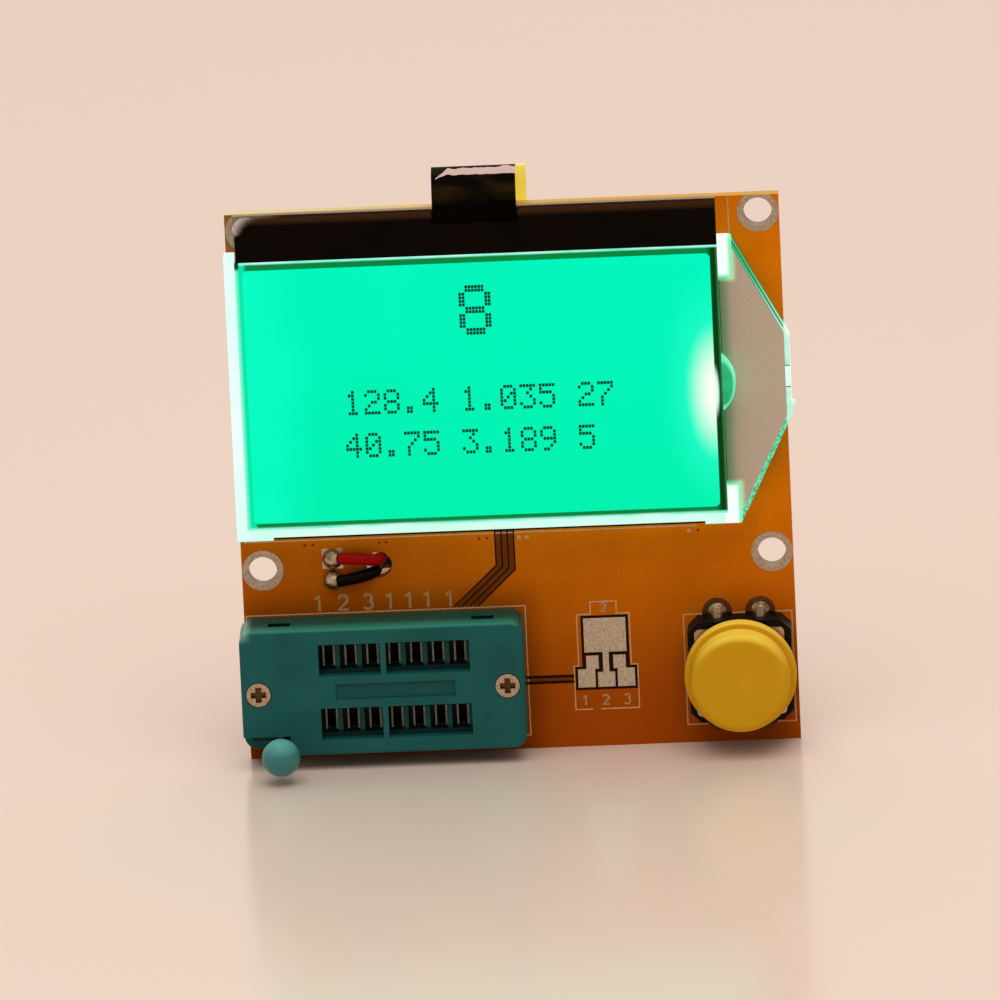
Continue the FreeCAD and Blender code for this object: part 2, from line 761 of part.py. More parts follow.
def make_socket_cover():
    body = rounded_body("cover_body", base_front, cover_front)
    dress(body, "Fillet", S.socket_edge, lies_at_y(cover_front))
    wide_left = columns[0] - S.pin_pitch
    wide_right = columns[-1] + S.pin_pitch
    tools = [block("cover_cavity", (wide_left, wide_right), (cavity_front, base_front),
                   (cavity_low, cavity_high)),
             block("cover_crank_room", (axle_x - crank_room, wide_left), (cavity_front, base_front),
                   (crank_low, crank_high)),
             lever_notch("cover_notch", base_front)]
    bearing = S.lever_radius + S.axle_gap
    tools.append(block("cover_bearing", (axle_x - bearing, axle_x + bearing), (axle_y - bearing, base_front),
                       (notch_top, crank_high + S.lever_bearing)))
    split = SOCKET_COLUMNS // 2
    beside_rib = (S.pin_pitch - S.window_rib) / 2
    spans = [(columns[0] - S.window_end, columns[split - 1] + beside_rib),
             (columns[split] - beside_rib, columns[-1] + S.window_end)]
    for j, z in enumerate(rows):
        level = (z - S.window_height / 2, z + S.window_height / 2)
        tools += [block(f"cover_window_{i}_{j}", span, (cover_front, cavity_front), level)
                  for i, span in enumerate(spans)]
    tools.append(block("cover_groove", (contacts_x - S.groove_length / 2, contacts_x + S.groove_length / 2),
                       (cover_front, cover_front + S.groove_depth),
                       (S.socket_z - S.groove_height / 2, S.socket_z + S.groove_height / 2)))
    for i, x in enumerate(screw_points):
        tools.append(rod(f"cover_head_room_{i}", "Y", S.screw_head_radius + S.screw_gap * 2,
                         S.screw_head_height, (x, cover_front, S.socket_z)))
        tools.append(rod(f"cover_screw_room_{i}", "Y", S.screw_shank_radius + S.screw_gap,
                         base_front - cover_front, (x, cover_front, S.socket_z)))
    clip_points = (socket_left + S.clip_notch_inset, socket_right - S.clip_notch_inset)
    tools += [block(f"cover_clip_{i}", (x - S.clip_notch_width / 2, x + S.clip_notch_width / 2),
                    (base_front - S.clip_notch_height, base_front),
                    (socket_top - S.clip_notch_depth, socket_top))
              for i, x in enumerate(clip_points)]
    node(cut("cover", body, *tools), "zif_cover")


def make_slider():
    """Plate whose ribs push the contacts shut; its left end bears on the crank."""
    back = base_front - S.slide_gap
    front = back - S.slider_thickness
    left = axle_x - S.slide_travel / 2 + S.crank_radius + S.slide_gap
    shoulder = columns[0] - S.pin_pitch / 2 - S.slide_travel * 2
    right = columns[-1] + S.pin_pitch - S.slide_travel * 2
    low = cavity_low + S.lever_clearance
    high = cavity_high - S.lever_clearance
    arm_low = crank_low + S.lever_clearance
    arm_high = crank_high - S.lever_clearance
    outline = [(shoulder, low), (right, low), (right, high), (shoulder, high),
               (shoulder, arm_high), (left, arm_high), (left, arm_low), (shoulder, arm_low)]
    body = plate("slider_body", outline, back, front)
    open_side = S.contact_width / 2 + S.slide_gap + S.slide_travel
    snug_side = S.contact_width / 2 + S.slide_gap
    half_height = S.window_height / 2 - S.lever_clearance
    slots = [block(f"slider_slot_{i}_{j}", (x - open_side, x + snug_side), (front, back),
                   (z - half_height, z + half_height))
             for j, z in enumerate(rows) for i, x in enumerate(columns)]
    node(cut("slider", body, *slots), "zif_slider")


def make_contacts():
    """Fourteen springs, each two leaves on a foot, with a tail through the board."""
    leaf_front = base_front - S.slider_thickness + S.leaf_set_back
    foot_front = board_front - S.leaf_thickness
    springs = []
    for j, z in enumerate(rows):
        level = (z - S.contact_height / 2, z + S.contact_height / 2)
        for i, x in enumerate(columns):
            left = x - S.contact_width / 2
            right = x + S.contact_width / 2
            depth = (leaf_front, foot_front)
            pieces = [block(f"leaf_left_{i}_{j}", (left, left + S.leaf_thickness), depth, level),
                      block(f"leaf_right_{i}_{j}", (right - S.leaf_thickness, right), depth, level),
                      block(f"leaf_foot_{i}_{j}", (left, right), (foot_front, board_front), level),
                      block(f"leaf_tail_{i}_{j}", (x - S.tail_width / 2, x + S.tail_width / 2),
                            (board_front, board_back + S.tail_length),
                            (z - S.tail_thickness / 2, z + S.tail_thickness / 2))]
            springs.append(fuse(f"spring_{i}_{j}", *pieces))
    node(group("springs", springs), "zif_contacts")


def make_socket_screws():
    """Cross-head screws that hold the cover to the base."""
    screws = []
    slot = S.screw_cross_width / 2
    arm = S.screw_cross_length / 2
    for i, x in enumerate(screw_points):
        z = S.socket_z
        head = rod(f"screw_head_{i}", "Y", S.screw_head_radius, S.screw_head_height, (x, cover_front, z))
        shank = rod(f"screw_shank_{i}", "Y", S.screw_shank_radius, S.screw_length, (x, cover_front, z))
        deep = (cover_front, cover_front + S.screw_cross_depth)
        across = block(f"screw_across_{i}", (x - arm, x + arm), deep, (z - slot, z + slot))
        upright = block(f"screw_upright_{i}", (x - slot, x + slot), deep, (z - arm, z + arm))
        screws.append(cut(f"screw_{i}", fuse(f"screw_body_{i}", head, shank), across, upright))
    node(group("screws", screws), "zif_screws")


def make_lever():
    """Bent rod with an eccentric crank, and the knob on its end."""
    axle_end = crank_high + S.lever_bearing - S.axle_gap
    crank_start = crank_low + S.axle_gap
    crank_end = crank_high - S.axle_gap
    near_axle = rod("lever_near_axle", "Z", S.lever_radius, crank_start - lever_z, (axle_x, axle_y, lever_z))
    far_axle = rod("lever_far_axle", "Z", S.lever_radius, axle_end - crank_end, (axle_x, axle_y, crank_end))
    half_travel = S.slide_travel / 2
    crank = rod("lever_crank", "Z", S.crank_radius, crank_end - crank_start,
                (axle_x - half_travel, axle_y + half_travel, crank_start))
    elbow = ball("lever_elbow", S.lever_radius, (axle_x, axle_y, lever_z))
    knob_y = axle_y - S.lever_length
    arm_front = knob_y + S.ball_radius - S.ball_socket_depth
    arm = rod("lever_arm", "Y", S.lever_radius, axle_y - arm_front, (axle_x, arm_front, lever_z))
    node(fuse("lever", near_axle, crank, far_axle, elbow, arm), "zif_lever")

    knob = ball("knob", S.ball_radius, (axle_x, knob_y, lever_z))
    bore = rod("knob_bore", "Y", S.lever_radius, S.ball_socket_depth, (axle_x, arm_front, lever_z))
    node(cut("lever_knob", knob, bore), "zif_lever_ball")


def make_switch():
    """Push switch with its steel plate, snap dome, plunger and round cap."""
    x, z = switch_x, S.switch_z
    half = S.switch_side / 2
    footprint = rectangle((switch_left, switch_right), (z - half, z + half))
    body = plate("switch_block", footprint, board_front, switch_front)
    dress(body, "Chamfer", S.switch_corner, ALONG_Y)
    well = rod("switch_well", "Y", S.switch_well_radius, S.switch_well_depth, (x, switch_front, z))
    node(cut("switch_body", body, well), "switch_base")

    side = S.switch_plate_side / 2
    cover = plate("switch_cover", rectangle((x - side, x + side), (z - side, z + side)), switch_front,
                  switch_plate_front)
    dress(cover, "Fillet", S.switch_plate_corner, ALONG_Y)
    mouth = rod("switch_mouth", "Y", S.switch_neck_radius + S.switch_neck_gap, S.switch_plate_thickness,
                (x, switch_plate_front, z))
    node(cut("switch_lid", cover, mouth), "switch_plate")

    legs = []
    for i, (pin_x, pin_z) in enumerate(switch_pin_points):
        width = (pin_x - S.switch_pin_width / 2, pin_x + S.switch_pin_width / 2)
        bend = board_front - S.switch_height / 2
        leg = block(f"switch_leg_{i}", width, (bend, board_back + S.tail_length),
                    (pin_z - S.switch_pin_thickness / 2, pin_z + S.switch_pin_thickness / 2))
        inner = z + (pin_z - z) * (S.switch_side / S.switch_pin_rows)
        low, high = (inner, pin_z) if pin_z.value > z.value else (pin_z, inner)
        foot = block(f"switch_foot_{i}", width, (bend, bend + S.switch_pin_thickness), (low, high))
        legs.append(fuse(f"switch_pin_{i}", leg, foot))
    node(group("switch_legs", legs), "switch_pins")

    floor = switch_front + S.switch_well_depth
    rise = floor - S.switch_dome_height
    rim = S.switch_flange_radius
    crown = rise + S.switch_dome_crown
    thin = S.switch_dome_thickness
    dome = [(0, rise), (0, rise - thin), (rim / 2, crown - thin), (rim, floor - thin), (rim, floor),
            (rim - S.switch_dome_lip, floor), (rim / 2, crown)]
    node(turned("dome", dome, x, z), "switch_dome")

    flange_back = rise - thin - S.switch_dome_gap
    flange_front = switch_front + S.slide_gap
    neck_front = switch_plate_front - S.switch_neck_height
    stem_front = neck_front - S.stem_length
    spool = [(0, flange_back), (S.switch_flange_radius, flange_back), (S.switch_flange_radius, flange_front),
             (S.switch_neck_radius, flange_front), (S.switch_neck_radius, neck_front), (0, neck_front)]
    stem = block("stem", (x - S.stem_side / 2, x + S.stem_side / 2), (stem_front, neck_front),
                 (z - S.stem_side / 2, z + S.stem_side / 2))
    node(fuse("plunger", turned("spool", spool, x, z), stem), "switch_plunger")

    make_cap(neck_front, stem_front)


def make_cap(neck_front, stem_front):
    x, z = switch_x, S.switch_z
    back = switch_plate_front - S.press_travel - S.cap_clearance
    rim_front = back - S.cap_rim_height
    front = back - S.cap_height
    hollow = front + S.cap_top_thickness
    inner = S.cap_top_radius - S.cap_wall
    boss_back = neck_front - S.stem_gap
    profile = [(0, front), (S.cap_top_radius, front), (S.cap_top_radius, rim_front),
               (S.cap_radius, rim_front), (S.cap_radius, back), (inner, back), (inner, hollow),
               (S.cap_boss_radius, hollow), (S.cap_boss_radius, boss_back), (0, boss_back)]
    body = turned("cap_body", profile, x, z)
    dress(body, "Fillet", S.cap_round, lies_at_y(front))
    dress(body, "Fillet", S.cap_rim_round, outer_rim(rim_front))
    half = S.stem_side / 2 + S.stem_gap
    socket = block("cap_socket", (x - half, x + half), (stem_front - S.stem_gap, boss_back),
                   (z - half, z + half))
    node(cut("cap", body, socket), "button_cap")


def outer_rim(level):
    """Chooses the outer edge of the cap's step."""
    def wanted(edge):
        return lies_at_y(level)(edge) and edge.BoundBox.XLength > 2 * S.cap_top_radius.value + 1e-3
    return wanted


def solder_joint(label, x, z, hole_x, hole_z, start, rises_back):
    """Cone of solder with room for the pin that it holds."""
    if rises_back:
        shape = cone(f"{label}_cone", "Y", S.solder_radius, S.solder_tip_radius, S.solder_height,
                     (x, start, z))
        depth = (start, start + S.solder_height)
    else:
        front = start - S.front_solder_height
        shape = cone(f"{label}_cone", "Y", S.front_solder_tip_radius, S.front_solder_radius,
                     S.front_solder_height, (x, front, z))
        depth = (front, start)
    pin = block(f"{label}_pin", (x - hole_x / 2, x + hole_x / 2), depth, (z - hole_z / 2, z + hole_z / 2))
    return cut(label, shape, pin)


def make_solder():
    """Joints on the front of the switch, and on the back of everything that passes through."""
    leg = (S.switch_pin_width, S.switch_pin_thickness)
    front = [solder_joint(f"switch_joint_{i}", x, z, *leg, board_front, False)
             for i, (x, z) in enumerate(switch_pin_points)]
    clear = block("switch_joint_clear", (switch_left, switch_right), (switch_front, board_front),
                  (S.switch_z - S.switch_side / 2, S.switch_z + S.switch_side / 2))
    fillets = [cut(f"switch_fillet_{i}", joint, clear) for i, joint in enumerate(front)]
    node(group("switch_joints", fillets), "switch_solder")
    tail = (S.tail_width, S.tail_thickness)
    joints = [solder_joint(f"tail_joint_{i}_{j}", x, z, *tail, board_back, True)
              for j, z in enumerate(rows) for i, x in enumerate(columns)]
    joints += [solder_joint(f"leg_joint_{i}", x, z, *leg, board_back, True)
               for i, (x, z) in enumerate(switch_pin_points)]
    joints += [solder_joint(f"led_joint_{i}", led_pin_x, z, S.led_pin_side, S.led_pin_side, board_back, True)
               for i, z in enumerate(led_pin_levels())]
    node(group("back_joints", joints), "back_solder")


def make_back_parts():
    """Electronics on the board's back."""
    make_controller()
    x, z = S.controller_x, S.controller_z + S.crystal_rise
    run = (S.crystal_length - S.crystal_width) / 2
    ends = [rod(f"can_end_{i}", "Y", S.crystal_width / 2, S.crystal_height, (x + run * side, board_back, z))
            for i, side in enumerate((-1, 1))]
    middle = block("can_middle", (x - run, x + run), (board_back, board_back + S.crystal_height),
                   (z - S.crystal_width / 2, z + S.crystal_width / 2))
    node(fuse("can", middle, *ends), "crystal")

    leads = []
    reg_x, reg_z = board_left + S.regulator_inset, S.regulator_z
    transistor_x = board_left + S.transistor_inset
    node(chip("reg", reg_x, reg_z, S.regulator_length, S.regulator_width, S.regulator_height), "regulator")
    leads += [foot(f"reg_foot_{i}", reg_x + S.regulator_length * side / 3, reg_z - S.regulator_width / 2, -1)
              for i, side in enumerate((-1, 0, 1))]
    bodies = []
    for i in range(SMALL_PACKAGES):
        bottom = S.transistor_z + S.transistor_step * i
        bodies.append(chip(f"tran_{i}", transistor_x, bottom, S.transistor_length, S.transistor_width,
                           S.transistor_height))
        low = bottom - S.transistor_width / 2
        high = bottom + S.transistor_width / 2
        leads += [foot(f"tran_low_{i}_{k}", transistor_x + S.transistor_length * side / 3, low, -1)
                  for k, side in enumerate((-1, 1))]
        leads.append(foot(f"tran_high_{i}", transistor_x, high, 1))
    node(bodies[0], "reference")
    node(group("transistor_bodies", bodies[1:]), "transistors")
    node(group("feet", leads), "chip_leads")

    node(group("resistor_bodies", [
        chip(f"res_{i}", S.resistor_x + S.small_chip_step * i, S.resistor_z, S.small_chip_width,
             S.small_chip_length, S.small_chip_height) for i in range(RESISTORS)]), "resistors")
    node(group("capacitor_bodies", [
        chip(f"cap_{i}", S.capacitor_x, S.capacitor_z + S.capacitor_step * i, S.small_chip_length,
             S.small_chip_width, S.small_chip_width) for i in range(CAPACITORS)]), "capacitors")


def chip(label, x, z, length, width, height):
    """A block soldered to the back of the board."""
    return block(label, (x - length / 2, x + length / 2), (board_back, board_back + height),
                 (z - width / 2, z + width / 2))


def foot(label, x, z, up):
    """A short flat lead from the side of a small package, resting on the board."""
    half = S.controller_lead_width / 2
    near, far = (z, z + S.controller_lead_reach) if up > 0 else (z - S.controller_lead_reach, z)
    return block(label, (x - half, x + half), (board_back, board_back + S.lead_thickness), (near, far))


def make_controller():
    """Square flat package with a row of bent leads on each side."""
    x, z = S.controller_x, S.controller_z
    half = S.controller_side / 2
    back = board_back + S.chip_gap
    body = plate("controller_block", rectangle((x - half, x + half), (z - half, z + half)),
                 back + S.controller_thickness, back)
    node(dress(body, "Chamfer", S.controller_lead_width, ALONG_Y), "microcontroller")

    shoulder = back + S.controller_thickness / 2
    reach = half + S.controller_lead_reach
    knee = half + S.controller_lead_reach / 2
    thick = S.lead_thickness
    leads = []
    for i in range(CONTROLLER_LEADS_PER_SIDE):
        along = S.controller_lead_pitch * (i - (CONTROLLER_LEADS_PER_SIDE - 1) / 2)
        span = (along - S.controller_lead_width / 2, along + S.controller_lead_width / 2)
        for side in (-1, 1):
            for upright in (False, True):
                profile = ((half, knee, shoulder - thick, shoulder),
                           (knee - thick, knee, board_back, shoulder),
                           (knee - thick, reach, board_back, board_back + thick))
                pieces = [lead_piece(f"lead_{i}_{side}_{upright}_{k}", span, piece, side, upright)
                          for k, piece in enumerate(profile)]
                leads.append(fuse(f"lead_{i}_{side}_{upright}", *pieces))
    node(group("controller_leads", leads), "microcontroller_leads")


def lead_piece(label, span, piece, side, upright):
    near, far, low_y, high_y = piece
    outward = (near, far) if side > 0 else (-far, -near)
    across, up = (span, outward) if upright else (outward, span)
    return block(label.replace("-", "m"), (S.controller_x + across[0], S.controller_x + across[1]),
                 (low_y, high_y), (S.controller_z + up[0], S.controller_z + up[1]))


battery_left = board_left + S.battery_inset
battery_right = battery_left + S.battery_length
battery_front = board_back + S.battery_gap
battery_middle_y = battery_front + S.battery_depth / 2
battery_middle_z = S.battery_height / 2
post_end = battery_left - S.post_length
snap_right = post_end - S.post_gap
snap_left = snap_right - S.snap_thickness
snap_middle_x = (snap_left + snap_right) / 2
snap_top = battery_middle_z + S.snap_width / 2


def make_battery():
    """Nine-volt battery that lies behind the board, and the clip on its posts."""
    shell = block("battery_block", (battery_left, battery_right),
                  (battery_front, battery_front + S.battery_depth), (0, S.battery_height))
    case = doc.addObject("Part::Fillet", "battery_shell")
    case.Base = shell
    doc.recompute()
    along_x = runs_along(Vector(1, 0, 0))
    corner = S.battery_corner.value
    case.Edges = [(i, corner, corner) for i, edge in enumerate(shell.Shape.Edges, start=1) if along_x(edge)]
    node(case, "battery_case")

    near_y = battery_middle_y - S.post_spacing / 2
    far_y = battery_middle_y + S.post_spacing / 2
    start = (post_end, near_y, battery_middle_z)
    small = rod("small_post", "X", S.small_post_radius, S.post_length, start)
    far = (post_end, far_y, battery_middle_z)
    large = cut("large_post", rod("large_post_rod", "X", S.large_post_radius, S.post_length, far),
                rod("large_post_bore", "X", S.large_post_radius - S.large_post_wall, S.post_length, far))
    node(group("posts", [small, large]), "battery_posts")

    stud_length = S.post_length
    ring_bore = S.small_post_radius + S.post_gap
    near_start = (snap_right, near_y, battery_middle_z)
    far_start = (snap_right, far_y, battery_middle_z)
    ring = cut("stud_ring", rod("stud_ring_rod", "X", ring_bore + S.stud_wall, stud_length, near_start),
               rod("stud_ring_bore", "X", ring_bore, stud_length, near_start))
    stud = rod("stud_plug", "X", S.large_post_radius - S.large_post_wall - S.post_gap, stud_length, far_start)
    node(group("studs", [ring, stud]), "snap_studs")

    half_length = S.snap_length / 2
    half_width = S.snap_width / 2
    pod = block("snap_block", (snap_left, snap_right),
                (battery_middle_y - half_length, battery_middle_y + half_length),
                (battery_middle_z - half_width, battery_middle_z + half_width))
    soft = doc.addObject("Part::Fillet", "snap_pod")
    soft.Base = pod
    doc.recompute()
    round_off = S.snap_corner.value
    soft.Edges = [(i, round_off, round_off) for i, edge in enumerate(pod.Shape.Edges, start=1)
                  if along_x(edge)]
    node(soft, "battery_snap")


# Routes of the two wires, from the solder on the front pad, through the board and down to the clip.
# Each point is chosen by hand, in millimetres from the place that it is named after; both wires lie
# on the battery's top in one loose turn.

PLACES = {
    "pad": (wire_pad_x, board_front, S.lead_hole_z),
    "front": (lead_hole_x, board_front, S.lead_hole_z),
    "back": (lead_hole_x, board_back, S.lead_hole_z),
    "battery": (battery_left, battery_front, S.battery_height),
    "clip": (snap_middle_x, battery_middle_y, snap_top),
}
RED_ROUTE = [
    ("pad", 0.8, -0.82, 0.95), ("pad", 2.4, -0.95, 1.05), ("front", 0.0, -0.82, 0.75),
    ("back", 0.0, 0.9, 0.75), ("back", 0.8, 4.6, 0.4), ("battery", 6.8, 4.6, 4.4),
    ("battery", 11.1, 6.4, 2.6), ("battery", 16.9, 7.2, 1.25), ("battery", 23.3, 8.0, 1.05),
    ("battery", 29.1, 10.9, 1.0), ("battery", 31.3, 16.2, 1.0), ("battery", 29.2, 21.0, 1.0),
    ("battery", 23.8, 23.4, 1.0), ("battery", 17.95, 22.8, 1.1), ("battery", 12.75, 20.6, 1.9),
    ("battery", 8.15, 18.4, 3.7), ("battery", 3.75, 16.7, 5.4), ("battery", -0.3, 15.4, 5.5),
    ("clip", 1.72, 1.5, 6.2), ("clip", 0.0, 1.3, 3.1), ("clip", 0.0, 1.3, 0.0),
]
BLACK_ROUTE = [
    ("pad", 0.5, -0.82, -1.6), ("pad", 2.2, -0.95, -1.5), ("front", 0.0, -0.82, -0.75),
    ("back", 0.0, 0.9, -0.75), ("back", 0.5, 4.8, -1.3), ("battery", 6.3, 5.4, 2.5),
    ("battery", 10.9, 8.4, 1.2), ("battery", 16.1, 9.8, 1.0), ("battery", 20.5, 10.1, 1.0),
    ("battery", 23.8, 10.9, 1.0), ("battery", 26.4, 12.8, 1.0), ("battery", 27.38, 15.85, 1.0),
    ("battery", 26.35, 18.9, 1.0), ("battery", 23.5, 20.7, 1.0), ("battery", 19.75, 20.9, 1.0),
    ("battery", 15.55, 19.6, 1.2), ("battery", 11.55, 17.5, 2.0), ("battery", 7.6, 15.3, 3.6),
    ("battery", 3.6, 13.6, 5.0), ("battery", -0.27, 12.5, 5.2), ("clip", 1.73, -1.25, 6.0),
    ("clip", 0.0, -1.3, 3.0), ("clip", 0.0, -1.3, 0.0),
]
BEND_SHARE = 0.45


def route_points(route):
    return [Vector(*(amount.value for amount in PLACES[name])) + Vector(*step) for name, *step in route]


def rounded_path(points):
    """Straight runs joined by tangent arcs, with the arcs' radii."""
    edges = []
    radii = []
    start = points[0]
    for before, corner, after in zip(points, points[1:], points[2:]):
        inward = (before - corner).normalize()
        outward = (after - corner).normalize()
        tangent = BEND_SHARE * min((before - corner).Length, (after - corner).Length)
        half_turn = (math.pi - inward.getAngle(outward)) / 2
        radius = tangent / math.tan(half_turn)
        enter = corner + inward * tangent
        leave = corner + outward * tangent
        bisector = (inward + outward).normalize()
        inside = corner + bisector * (radius / math.cos(half_turn) - radius)
        edges += [Part.LineSegment(start, enter).toShape(), Part.Arc(enter, inside, leave).toShape()]
        radii.append(radius)
        start = leave
    edges.append(Part.LineSegment(start, points[-1]).toShape())
    return Part.Wire(edges), radii


def make_wire(label, route, colour_node):
    """A round wire swept along its rounded route."""
    points = route_points(route)
    path, radii = rounded_path(points)
    radius = S.wire_radius.value
    section = Part.Wire([Part.Circle(points[0], points[1] - points[0], radius).toShape()])
    item = doc.addObject("Part::Feature", label)
    item.Shape = path.makePipeShell([section], True, False)
    expected = math.pi * radius ** 2 * path.Length
    print(f"{colour_node}: length {path.Length:.1f} mm, volume {item.Shape.Volume:.1f} of {expected:.1f} mm3")
    print("  bend radii", " ".join(f"{amount:.1f}" for amount in radii))
    node(item, colour_node)


def make_lead():
    """Pads, solder and the two wires of the battery lead."""
    pad_front = board_front - S.pad_thickness
    upper = S.lead_hole_z + S.wire_pad_rise
    lower = upper - S.wire_pad_spacing
    half = S.wire_pad_side / 2
    square = block("plus_pad", (wire_pad_x - half, wire_pad_x + half), (pad_front, board_front),
                   (upper - half, upper + half))
    disc = rod("minus_pad", "Y", S.round_pad_radius, S.pad_thickness, (wire_pad_x, pad_front, lower))
    node(group("lead_pads", [square, disc]), "wire_pads")
    blobs = []
    for i, level in enumerate((upper, lower)):
        mound = doc.addObject("Part::Ellipsoid", f"blob_{i}")
        mound.Placement = Placement(Vector(), Rotation(Vector(1, 0, 0), 90))
        bind(mound, Radius1=S.blob_height, Radius2=S.blob_radius, Radius3=S.blob_radius)
        mound.Angle1 = 0
        place(mound, wire_pad_x, pad_front, level)
        blobs.append(mound)
    node(group("blobs", blobs), "wire_solder")
    make_wire("red_wire", RED_ROUTE, "battery_wire_red")
    make_wire("black_wire", BLACK_ROUTE, "battery_wire_black")


make_board()
make_display()
make_socket()
make_switch()
make_solder()
make_back_parts()
make_battery()
make_lead()
doc.recompute()

for item in doc.Objects:
    if {"Invalid", "Error"} & set(item.State):
        raise RuntimeError(f"{item.Label} failed: {item.State}")
for item in NODES:
    if item.Shape.isNull() or not item.Shape.isValid() or not item.Shape.Solids:
        raise RuntimeError(f"{item.Label} has no valid solid")

os.makedirs("parts", exist_ok=True)
for item in NODES:
    item.Shape.exportStep(f"parts/{item.Label}.step")
print(len(NODES), "nodes written")
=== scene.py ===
import functools
import json
import math

import bmesh
import bpy
from mathutils import Matrix, Vector


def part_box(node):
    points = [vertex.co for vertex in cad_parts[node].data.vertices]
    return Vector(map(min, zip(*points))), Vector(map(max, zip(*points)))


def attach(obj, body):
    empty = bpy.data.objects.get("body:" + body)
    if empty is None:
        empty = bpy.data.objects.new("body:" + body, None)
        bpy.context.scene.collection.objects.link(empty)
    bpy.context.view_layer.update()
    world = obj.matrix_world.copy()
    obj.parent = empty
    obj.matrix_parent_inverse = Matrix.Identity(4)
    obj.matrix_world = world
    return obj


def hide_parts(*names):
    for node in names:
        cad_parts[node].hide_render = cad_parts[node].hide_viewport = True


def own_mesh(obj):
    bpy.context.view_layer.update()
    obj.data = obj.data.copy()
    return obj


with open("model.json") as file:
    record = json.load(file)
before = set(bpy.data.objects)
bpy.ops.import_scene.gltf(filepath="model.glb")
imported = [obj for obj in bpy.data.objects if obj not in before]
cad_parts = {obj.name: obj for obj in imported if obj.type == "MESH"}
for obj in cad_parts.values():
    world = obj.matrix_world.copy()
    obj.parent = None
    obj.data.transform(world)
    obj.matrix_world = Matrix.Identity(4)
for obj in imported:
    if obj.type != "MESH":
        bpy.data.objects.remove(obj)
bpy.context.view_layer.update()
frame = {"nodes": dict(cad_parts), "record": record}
NODES = frame["nodes"]

# Looks of a bare-board component tester. Metres, in the frame of the solids:
# X to the viewer's right, Y from the front to the back, Z up.

MM = 0.001
BOARD_LOW, BOARD_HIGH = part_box("circuit_board")
GLASS_LOW, GLASS_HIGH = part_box("lcd_front_glass")
PANE_LOW, PANE_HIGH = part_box("lcd_rear_glass")
COAT_LOW, COAT_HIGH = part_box("ledge_coating")
FILTER_LOW, FILTER_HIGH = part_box("front_polarizer")
GUIDE_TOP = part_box("light_guide")[1].z
FILM_LOW, FILM_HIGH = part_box("wedge_film")
LAMP_LOW, LAMP_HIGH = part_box("backlight_led")
SEAL_LOW, SEAL_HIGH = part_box("fill_port_seal")
FLEX_LOW, FLEX_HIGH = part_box("lcd_flex")
SOCKET_LOW, SOCKET_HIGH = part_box("zif_cover")
SCREW_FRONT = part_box("zif_screws")[0].y
CONTACT_LOW, CONTACT_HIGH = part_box("zif_contacts")
BATTERY_LOW, BATTERY_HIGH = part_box("battery_case")
LAMP_Z = (LAMP_LOW.z + LAMP_HIGH.z) / 2

# Mounting holes: how far from the middle, the heights of their two rows, and the reach of their walls.
HOLE_X = 29.55 * MM
HOLE_Z = (22.6 * MM, 63.2 * MM)
HOLE_REACH = 1.8 * MM
# The light guide's wedge: its start, the mask film's two notches, and the tip round the lamp.
WEDGE_X = 26.4 * MM
NOTCH_X = 26.25 * MM
NOTCH_LOW_Z = 31.7 * MM
NOTCH_HIGH_Z = 56.3 * MM
TIP_HALF = 4.65 * MM
TIP_RIM = 0.6 * MM
# The flat cable's bare right edge, and the length of it that is bonded to the rear pane.
FLEX_EAR = 1.1 * MM
FLEX_BOND = 1.6 * MM
# The socket's outer walls, its contact rows off the middle, and the floor of the clip notches on top.
SOCKET_WALL = 1.0 * MM
CONTACT_ROW = 3.81 * MM
CLIP_FLOOR_Z = SOCKET_HIGH.z - 0.6 * MM
# Tinned caps of the small chip parts, and the battery sleeve's rolled ends.
CHIP_CAP = 0.35 * MM
SLEEVE_ROLL = 1.1 * MM
INK = 0.02 * MM


def srgb(red, green, blue):
    """A colour as it looks on a screen, 0 to 255, in linear light."""
    def linear(level):
        share = level / 255
        return share / 12.92 if share <= 0.04045 else ((share + 0.055) / 1.055) ** 2.4
    return (linear(red), linear(green), linear(blue), 1.0)


def ends(place, start, end):
    """Where a change starts and ends, in millimetres past a place."""
    return (place + start * MM, place + end * MM)


# Noise clusters round its middle, so these spans of it are stretched to whole shares.
CLOUD_SPAN = (0.3, 0.7)
METAL_SPAN = (0.25, 0.75)
# Least part of a normal along an axis for its face to count as facing that way.
FACING = 0.5
# Leeway for telling a face by its place.
SLACK = 0.1 * MM


